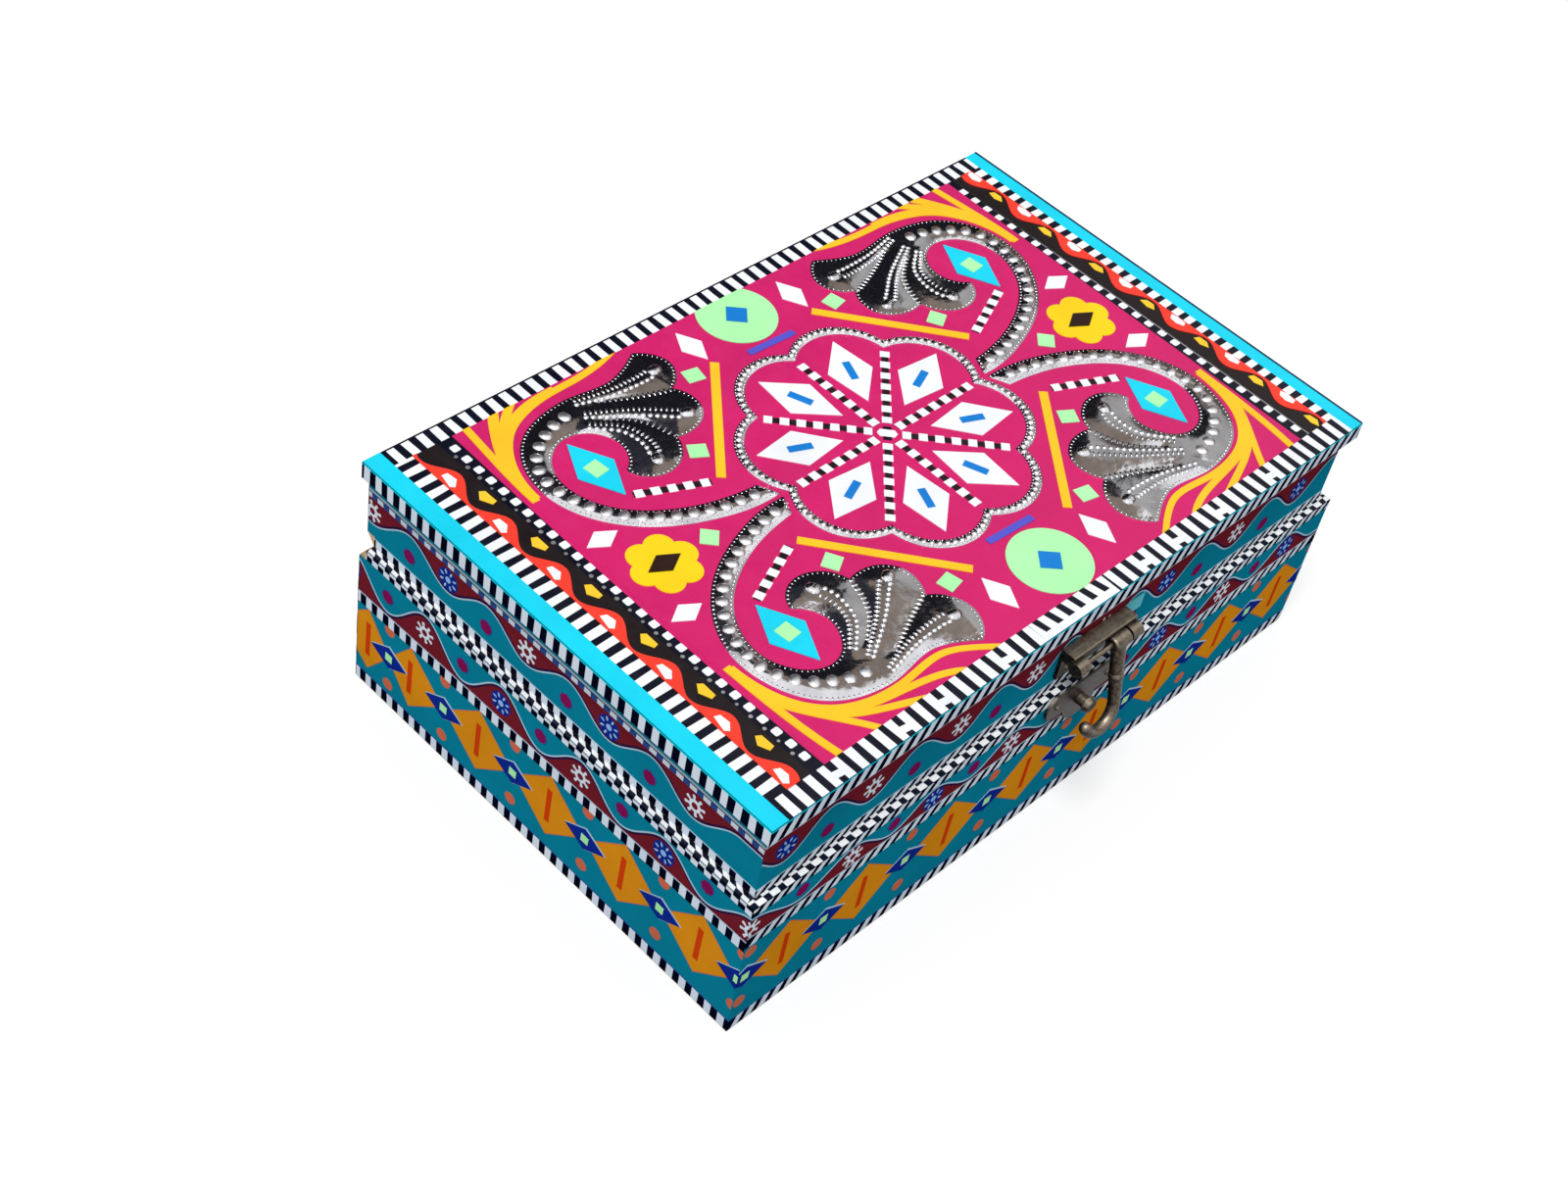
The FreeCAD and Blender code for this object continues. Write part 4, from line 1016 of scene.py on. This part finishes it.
# A scroll's lines in zones from the rosette's middle: 1 is its radius and 2 the field's edge
STEM_LINE = [(0.965, 0.084), (1.12, 0.097), (1.31, 0.152), (1.488, 0.243), (1.621, 0.345), (1.727, 0.475),
             (1.802, 0.64), (1.836, 0.80), (1.835, 0.95), (1.79, 1.11), (1.735, 1.24), (1.667, 1.34),
             (1.602, 1.41), (1.535, 1.46), (1.461, 1.49)]
RIB_LINES = [
    [(1.345, 1.60), (1.138, 1.50), (0.921, 1.473), (0.80, 1.50)],
    [(1.366, 1.378), (1.141, 1.10), (0.97, 0.90), (0.895, 0.86)],
    [(1.40, 1.22), (1.272, 0.98), (1.24, 0.80), (1.28, 0.66)],
]
GROOVE_LINES = [
    [(1.236, 1.479), (1.127, 1.367), (1.019, 1.267), (0.846, 1.15)],
    [(1.30, 1.22), (1.185, 1.037), (1.12, 0.90), (1.083, 0.76)],
]

border_low, border_high = box_mm("rosette_border")
art_centre = (border_low + border_high) / 2


def stretch(zone, far):
    """Distance of a zone: 1 is the rosette's radius and 2 the edge of the field."""
    return min(zone, 1) * ROSETTE_RADIUS + max(zone - 1, 0) * (far - ROSETTE_RADIUS)


def lay_line(zones, side_x, side_y):
    """Points on the top of a line given in zones, mirrored to one corner of the field."""
    far_x = (field_high.x - field_low.x) / 2
    far_y = field_high.y - art_centre.y if side_y > 0 else art_centre.y - field_low.y
    middle_x = (field_high.x + field_low.x) / 2
    return np.array([(middle_x + side_x * stretch(x, far_x), art_centre.y + side_y * stretch(y, far_y))
                     for x, y in zones])


def curve(points, spacing):
    """Evenly spaced points on a smooth curve through some points."""
    padded = np.vstack((2 * points[0] - points[1], points, 2 * points[-1] - points[-2]))
    fine = []
    for p0, p1, p2, p3 in zip(padded, padded[1:], padded[2:], padded[3:]):
        for t in np.linspace(0, 1, CURVE_STEPS, endpoint=False):
            fine.append(0.5 * (2 * p1 + (p2 - p0) * t + (2 * p0 - 5 * p1 + 4 * p2 - p3) * t ** 2
                               + (3 * p1 - p0 - 3 * p2 + p3) * t ** 3))
    return even(np.array([*fine, points[-1]]), spacing)


def even(line, spacing):
    """A run of points spaced anew."""
    steps_along = np.linalg.norm(np.diff(line, axis=0), axis=1)
    reached = np.concatenate(([0.0], np.cumsum(steps_along)))
    count = max(2, round(reached[-1] / spacing) + 1)
    wanted = np.linspace(0, reached[-1], count)
    return np.column_stack([np.interp(wanted, reached, line[:, axis]) for axis in range(2)])


def distance(points, line):
    """Shortest distance from each point to a run of straight segments."""
    best = np.full(len(points), np.inf)
    for a, b in zip(line[:-1], line[1:]):
        run = b - a
        share = np.clip((points - a) @ run / max(run @ run, TINY), 0, 1)
        best = np.minimum(best, np.linalg.norm(points - a - share[:, None] * run, axis=1))
    return best


def top_loops(node):
    """Closed outlines of a node's flat top, in millimetres, longest first."""
    mesh = welded(node)
    mesh.normal_update()
    top = {face for face in mesh.faces if face.normal.z > UPWARD}
    rim = {}
    for edge in mesh.edges:
        if sum(face in top for face in edge.link_faces) == 1:
            for vert in edge.verts:
                rim.setdefault(vert, []).append(edge.other_vert(vert))
    loops = []
    while rim:
        start = next(iter(rim))
        loop = [start]
        before = None
        here = start
        while True:
            options = [vert for vert in rim[here] if vert is not before]
            before, here = here, options[0]
            if here is start:
                break
            loop.append(here)
        for vert in loop:
            del rim[vert]
        loops.append(np.array([(vert.co.x / MM, vert.co.y / MM) for vert in [*loop, start]]))
    mesh.free()
    return sorted(loops, key=len, reverse=True)


class Relief:
    """Embossed sheet over the outline of a node; each ridge is a line and the height it rises to."""

    def __init__(self, node, ridges, grooves):
        self.loops = [even(loop, RELIEF_FINENESS) for loop in top_loops(node)]
        self.ridges = ridges
        self.valleys = [*self.loops, *grooves]
        self.level = box_mm(node)[0].z
        self.mesh = bmesh.new()
        self.sheet()

    def height(self, points):
        to_valley = np.min([distance(points, line) for line in self.valleys], axis=0)
        rise = np.zeros(len(points))
        for line, full in self.ridges:
            share = to_valley / np.maximum(to_valley + distance(points, line), TINY)
            rise = np.maximum(rise, full * np.sin(share * math.pi / 2))
        return RELIEF_EDGE + rise

    def grid(self):
        """Points inside the outline, clear of its edge."""
        outline = np.vstack(self.loops)
        low = outline.min(0)
        high = outline.max(0)
        row = RELIEF_FINENESS * math.sqrt(3) / 2
        points = []
        for j, y in enumerate(np.arange(low[1], high[1], row)):
            start = low[0] + (j % 2) * RELIEF_FINENESS / 2
            points.extend((x, y) for x in np.arange(start, high[0], RELIEF_FINENESS))
        points = np.array(points)
        return points[self.room(points) > EDGE_CLEARANCE]

    def room(self, points):
        """Distance from each point to the outline."""
        return np.min([distance(points, loop) for loop in self.loops], axis=0)

    def sheet(self):
        """Domed sheet with a skirt down to the film it is glued on."""
        points = []
        edges = []
        for loop in self.loops:
            first = len(points)
            count = len(loop) - 1
            points.extend(loop[:-1])
            edges.extend((first + i, first + (i + 1) % count) for i in range(count))
        points = np.vstack((points, self.grid()))
        flat = [Vector(point) for point in points]
        kept = 2 if len(self.loops) > 1 else 1
        cells = delaunay_2d_cdt(flat, edges, [], kept, DELAUNAY_GAP)
        verts, faces = cells[0], cells[2]
        places = np.array([tuple(vert) for vert in verts])
        heights = self.height(places)
        made = [self.mesh.verts.new((x * MM, y * MM, (self.level + h) * MM))
                for (x, y), h in zip(places, heights)]
        middles = np.array([places[list(face)].mean(0) for face in faces])
        inside = self.inside(middles)
        for face, keep in zip(faces, inside):
            if keep:
                self.mesh.faces.new([made[i] for i in face]).smooth = True
        bmesh.ops.recalc_face_normals(self.mesh, faces=self.mesh.faces)
        loose = [vert for vert in self.mesh.verts if not vert.link_faces]
        bmesh.ops.delete(self.mesh, geom=loose, context="VERTS")
        self.skirt()

    def inside(self, points):
        """Whether each point lies inside the outline, holes left out."""
        crossings = np.zeros(len(points), dtype=int)
        for loop in self.loops:
            for (xa, ya), (xb, yb) in zip(loop[:-1], loop[1:]):
                spans = (points[:, 1] < ya) != (points[:, 1] < yb)
                at = xa + (points[:, 1] - ya) * (xb - xa) / (yb - ya if yb != ya else TINY)
                crossings += spans & (points[:, 0] < at)
        return crossings % 2 == 1

    def skirt(self):
        for edge in [edge for edge in self.mesh.edges if edge.is_boundary]:
            a, b = (vert.co for vert in edge.verts)
            foot = self.level * MM
            corners = [a, b, (b.x, b.y, foot), (a.x, a.y, foot)]
            self.mesh.faces.new([self.mesh.verts.new(corner) for corner in corners])

    def row(self, line, bead, face):
        """Beads along a line, smaller where the foil is narrow."""
        spacing, along, across, rise = bead
        points = even(line, spacing)
        runs = np.gradient(points, axis=0)
        for place, run, height, room in zip(points, runs, self.height(points), self.room(points)):
            fit = min(1.0, BEAD_ROOM * room / across)
            turn = math.atan2(run[1], run[0])
            self.press(place, height, (along * fit, across * fit, rise), turn, face)

    def press(self, place, height, size, turn, face_index):
        """One bead on the foil."""
        spot = Matrix.Translation((place[0] * MM, place[1] * MM, (self.level + height - BEAD_SINK) * MM))
        shape = Matrix.Diagonal((size[0] * MM, size[1] * MM, size[2] * MM, 1.0))
        fineness = 2 if size[1] > FINE_BEAD else 1
        made = bmesh.ops.create_icosphere(self.mesh, subdivisions=fineness, radius=1.0,
                                          matrix=spot @ Matrix.Rotation(turn, 4, "Z") @ shape)
        for face in {face for vert in made["verts"] for face in vert.link_faces}:
            face.smooth = True
            face.material_index = face_index

    def edge_row(self, inset, bead, face):
        """Fine beads just inside the outline."""
        for loop in self.loops:
            line = even(loop, bead[0])
            ahead = np.roll(line[:-1], -1, axis=0) - np.roll(line[:-1], 1, axis=0)
            side = np.column_stack((-ahead[:, 1], ahead[:, 0]))
            side /= np.linalg.norm(side, axis=1)[:, None]
            places = line[:-1] + side * inset
            places = np.where(self.inside(places)[:, None], places, line[:-1] - side * inset)
            self.row(places, bead, face)

    def build(self, name, node):
        add_piece(self.mesh, name, [FOIL, PEARL], "lid", "foil_chrome", node)


def aside(line, near, far):
    """A line moved sideways, by one distance at its start and another at its end."""
    runs = np.gradient(line, axis=0)
    sides = np.column_stack((-runs[:, 1], runs[:, 0])) / np.linalg.norm(runs, axis=1)[:, None]
    return line + sides * np.linspace(near, far, len(line))[:, None]


def scroll(name, side_x, side_y):
    """Foil scroll: beaded stem that opens into a fan of three lobes."""
    stem = curve(lay_line(STEM_LINE, side_x, side_y), RELIEF_FINENESS)
    ribs = [curve(lay_line(line, side_x, side_y), RELIEF_FINENESS) for line in RIB_LINES]
    grooves = [curve(lay_line(line, side_x, side_y), RELIEF_FINENESS) for line in GROOVE_LINES]
    near, far = RIB_ROW_ASIDE
    relief = Relief(name, [(stem, STEM_RISE), *[(rib, RIB_RISE) for rib in ribs]], grooves)
    relief.row(stem, STEM_PEARL, PEARL_FACE)
    for rib in ribs:
        relief.row(aside(rib[:-RIB_BARE_POINTS], -near, -far), RIB_BEAD, PEARL_FACE)
        relief.row(aside(rib[:-RIB_BARE_POINTS], near, far), RIB_TOOTH, MIRROR_FACE)
        relief.row(rib[-TIP_POINTS:], TIP_BEAD, MIRROR_FACE)
    for groove in grooves:
        relief.row(groove, TOOTH, MIRROR_FACE)
    relief.edge_row(SCROLL_TICK_INSET, EDGE_TICK, MIRROR_FACE)
    relief.build(name + "_relief", name)


def rosette_border():
    """Scalloped foil border with a row of beads."""
    outer, inner = [even(loop, RELIEF_FINENESS) for loop in top_loops("rosette_border")]
    nearest = [inner[np.argmin(np.linalg.norm(inner - point, axis=1))] for point in outer]
    middle = (outer + np.array(nearest)) / 2
    relief = Relief("rosette_border", [(middle, BORDER_RISE)], [])
    relief.row(middle, BORDER_BEAD, PEARL_FACE)
    relief.edge_row(BORDER_TICK_INSET, BORDER_TICK, MIRROR_FACE)
    relief.build("rosette_border_relief", "rosette_border")


for corner_name, corner_x, corner_y in (("back_left", -1, 1), ("back_right", 1, 1),
                                        ("front_left", -1, -1), ("front_right", 1, -1)):
    scroll("scroll_" + corner_name, corner_x, corner_y)
rosette_border()


# Films that keep their CAD shape

CAD_FILMS = {
    "top_field_film": "magenta",
    "top_cyan_tapes": "cyan",
    "top_black_ribbons": "black",
    "top_red_ribbons": "red",
    "rosette_petals": "white",
    "white_rhombi": "white",
    "blue_slips": "blue",
    "green_discs": "light_green",
    "green_squares": "light_green",
    "yellow_flowers": "yellow",
    "flower_rhombi": "brown",
    "cyan_rhombi": "cyan",
    "orange_bars": "amber",
    "corner_flourishes": "amber",
    "violet_bars": "violet",
}


def dress(node, material):
    data = nodes[node].data
    data.materials.clear()
    data.materials.append(material)


for film_node, colour_name in CAD_FILMS.items():
    dress(film_node, films[colour_name])
for wooden in [name for name in nodes if name.endswith("_wall") or name in ("base_floor", "lid_top_panel")]:
    dress(wooden, WOOD)
for metal in [name for name in nodes if name.startswith("hinge_")]:
    dress(metal, BRASS)
for metal in [name for name in nodes if name.startswith("hasp_")]:
    dress(metal, BRONZE)
for shiny in [name for name in nodes if name.startswith("scroll_") or name == "rosette_border"]:
    dress(shiny, FOIL)


# Stage: floor, light and camera

FLOOR_SIZE = 8.0
FLOOR_DROP = 0.0002
FLOOR_SHARE = 0.42
SKY_COLOUR = (0.97, 0.98, 1.0, 1)
SKY_STRENGTH = 0.52
SUN_STRENGTH = 2.05
SUN_ANGLE = 16
SUN_FROM = (-0.31, -0.12, 0.943)
CARD_DISTANCE = 3.0
CARD_STEPS = 12
WHITE = (1, 1, 1, 1)
BLACK = (0, 0, 0, 1)

# Cards that only reflections see: bearings from and to, heights from and to in degrees, and colour
CARDS = {
    "dark_card": (31, 120, 0, 45, (0.012, 0.012, 0.016, 1)),
    "dark_high_card": (41, 120, 45, 60, (0.03, 0.03, 0.04, 1)),
    "brown_card": (20, 41, 45, 58, (0.26, 0.21, 0.175, 1)),
    "grey_card": (-30, 31, 30, 45, (0.45, 0.44, 0.43, 1)),
    "low_brown_card": (-60, 31, 0, 30, (0.12, 0.10, 0.09, 1)),
}

# Camera found from the box's corners in the photograph, 1600 x 1204 pixels
CAMERA_PLACE = (-0.43296, -0.29748, 0.55351)
CAMERA_FORWARD = (0.56141, 0.41934, -0.71342)
CAMERA_ROLL = 12.04
CAMERA_LENS = 55.70
SENSOR_WIDTH = 36.0
CLIP_START = 0.01


def background_rays(tree):
    """1 for rays that show the background: from the camera, and off metal and glass."""
    path = tree.nodes.new("ShaderNodeLightPath").outputs
    total = path["Is Camera Ray"]
    for name in ("Is Glossy Ray", "Is Transmission Ray"):
        total = add_node(tree, "Math", {0: total, 1: path[name]}, "MAXIMUM").outputs["Value"]
    return total


def make_floor():
    bpy.ops.mesh.primitive_plane_add(size=FLOOR_SIZE, location=(0, 0, -FLOOR_DROP))
    floor = bpy.context.object
    floor.name = "floor"
    material, tree, shader = new_material("floor_pale")
    glow = add_node(tree, "Math", {0: background_rays(tree), 1: 1.0 - FLOOR_SHARE}, "MULTIPLY")
    connect(tree, shader, {
        "Base Color": (FLOOR_SHARE, FLOOR_SHARE, FLOOR_SHARE, 1),
        "Roughness": 1.0,
        "Specular IOR Level": 0.0,
        "Emission Color": WHITE,
        "Emission Strength": glow.outputs["Value"],
    })
    floor.data.materials.append(material)


def make_world():
    """Soft sky for the light, and plain white where the background shows."""
    world = bpy.data.worlds.new("studio")
    bpy.context.scene.world = world
    world.use_nodes = True
    tree = world.node_tree
    sky = tree.nodes["Background"]
    connect(tree, sky, {"Color": SKY_COLOUR, "Strength": SKY_STRENGTH})
    white = add_node(tree, "Background", {"Color": WHITE})
    mix = add_node(tree, "MixShader", {"Fac": background_rays(tree), 1: sky.outputs[0], 2: white.outputs[0]})
    connect(tree, tree.nodes["World Output"], {"Surface": mix.outputs[0]})


def make_sun():
    light = bpy.data.lights.new("key", "SUN")
    light.energy = SUN_STRENGTH
    light.angle = math.radians(SUN_ANGLE)
    lamp = put("key", light)
    lamp.rotation_euler = Vector(SUN_FROM).to_track_quat("Z", "Y").to_euler()


def card(name, start, end, low, high, colour):
    """Curved card round the table that only reflections see."""
    mesh = bmesh.new()
    edges = []
    for i in range(CARD_STEPS + 1):
        bearing = math.radians(start + (end - start) * i / CARD_STEPS)
        foot = polar(0, 0, CARD_DISTANCE, bearing)
        rises = [math.tan(math.radians(height)) * CARD_DISTANCE for height in (low, high)]
        edges.append([mesh.verts.new((*foot, rise)) for rise in rises])
    for (a, b), (c, d) in zip(edges, edges[1:]):
        mesh.faces.new((a, c, d, b))
    material, tree, shader = new_material(name)
    connect(tree, shader, {
        "Base Color": BLACK,
        "Specular IOR Level": 0.0,
        "Emission Color": colour,
        "Emission Strength": 1.0,
    })
    piece = put_mesh(mesh, name, [material])
    piece.visible_camera = False
    piece.visible_shadow = False
    piece.visible_diffuse = False


def make_camera():
    data = bpy.data.cameras.new("photo_camera")
    data.sensor_width = SENSOR_WIDTH
    data.lens = CAMERA_LENS
    data.clip_start = CLIP_START
    camera = put("photo_camera", data)
    forward = Vector(CAMERA_FORWARD).normalized()
    roll = math.radians(CAMERA_ROLL)
    level = forward.cross(Vector((0, 0, 1))).normalized()
    upright = level.cross(forward)
    right = level * math.cos(roll) + upright * math.sin(roll)
    up = right.cross(forward)
    turn = Matrix((right, up, -forward)).transposed()
    camera.matrix_world = Matrix.Translation(CAMERA_PLACE) @ turn.to_4x4()
    bpy.context.scene.camera = camera


make_floor()
make_world()
make_sun()
for card_name, card_look in CARDS.items():
    card(card_name, *card_look)
make_camera()

scene = bpy.context.scene
scene.view_settings.view_transform = "Standard"
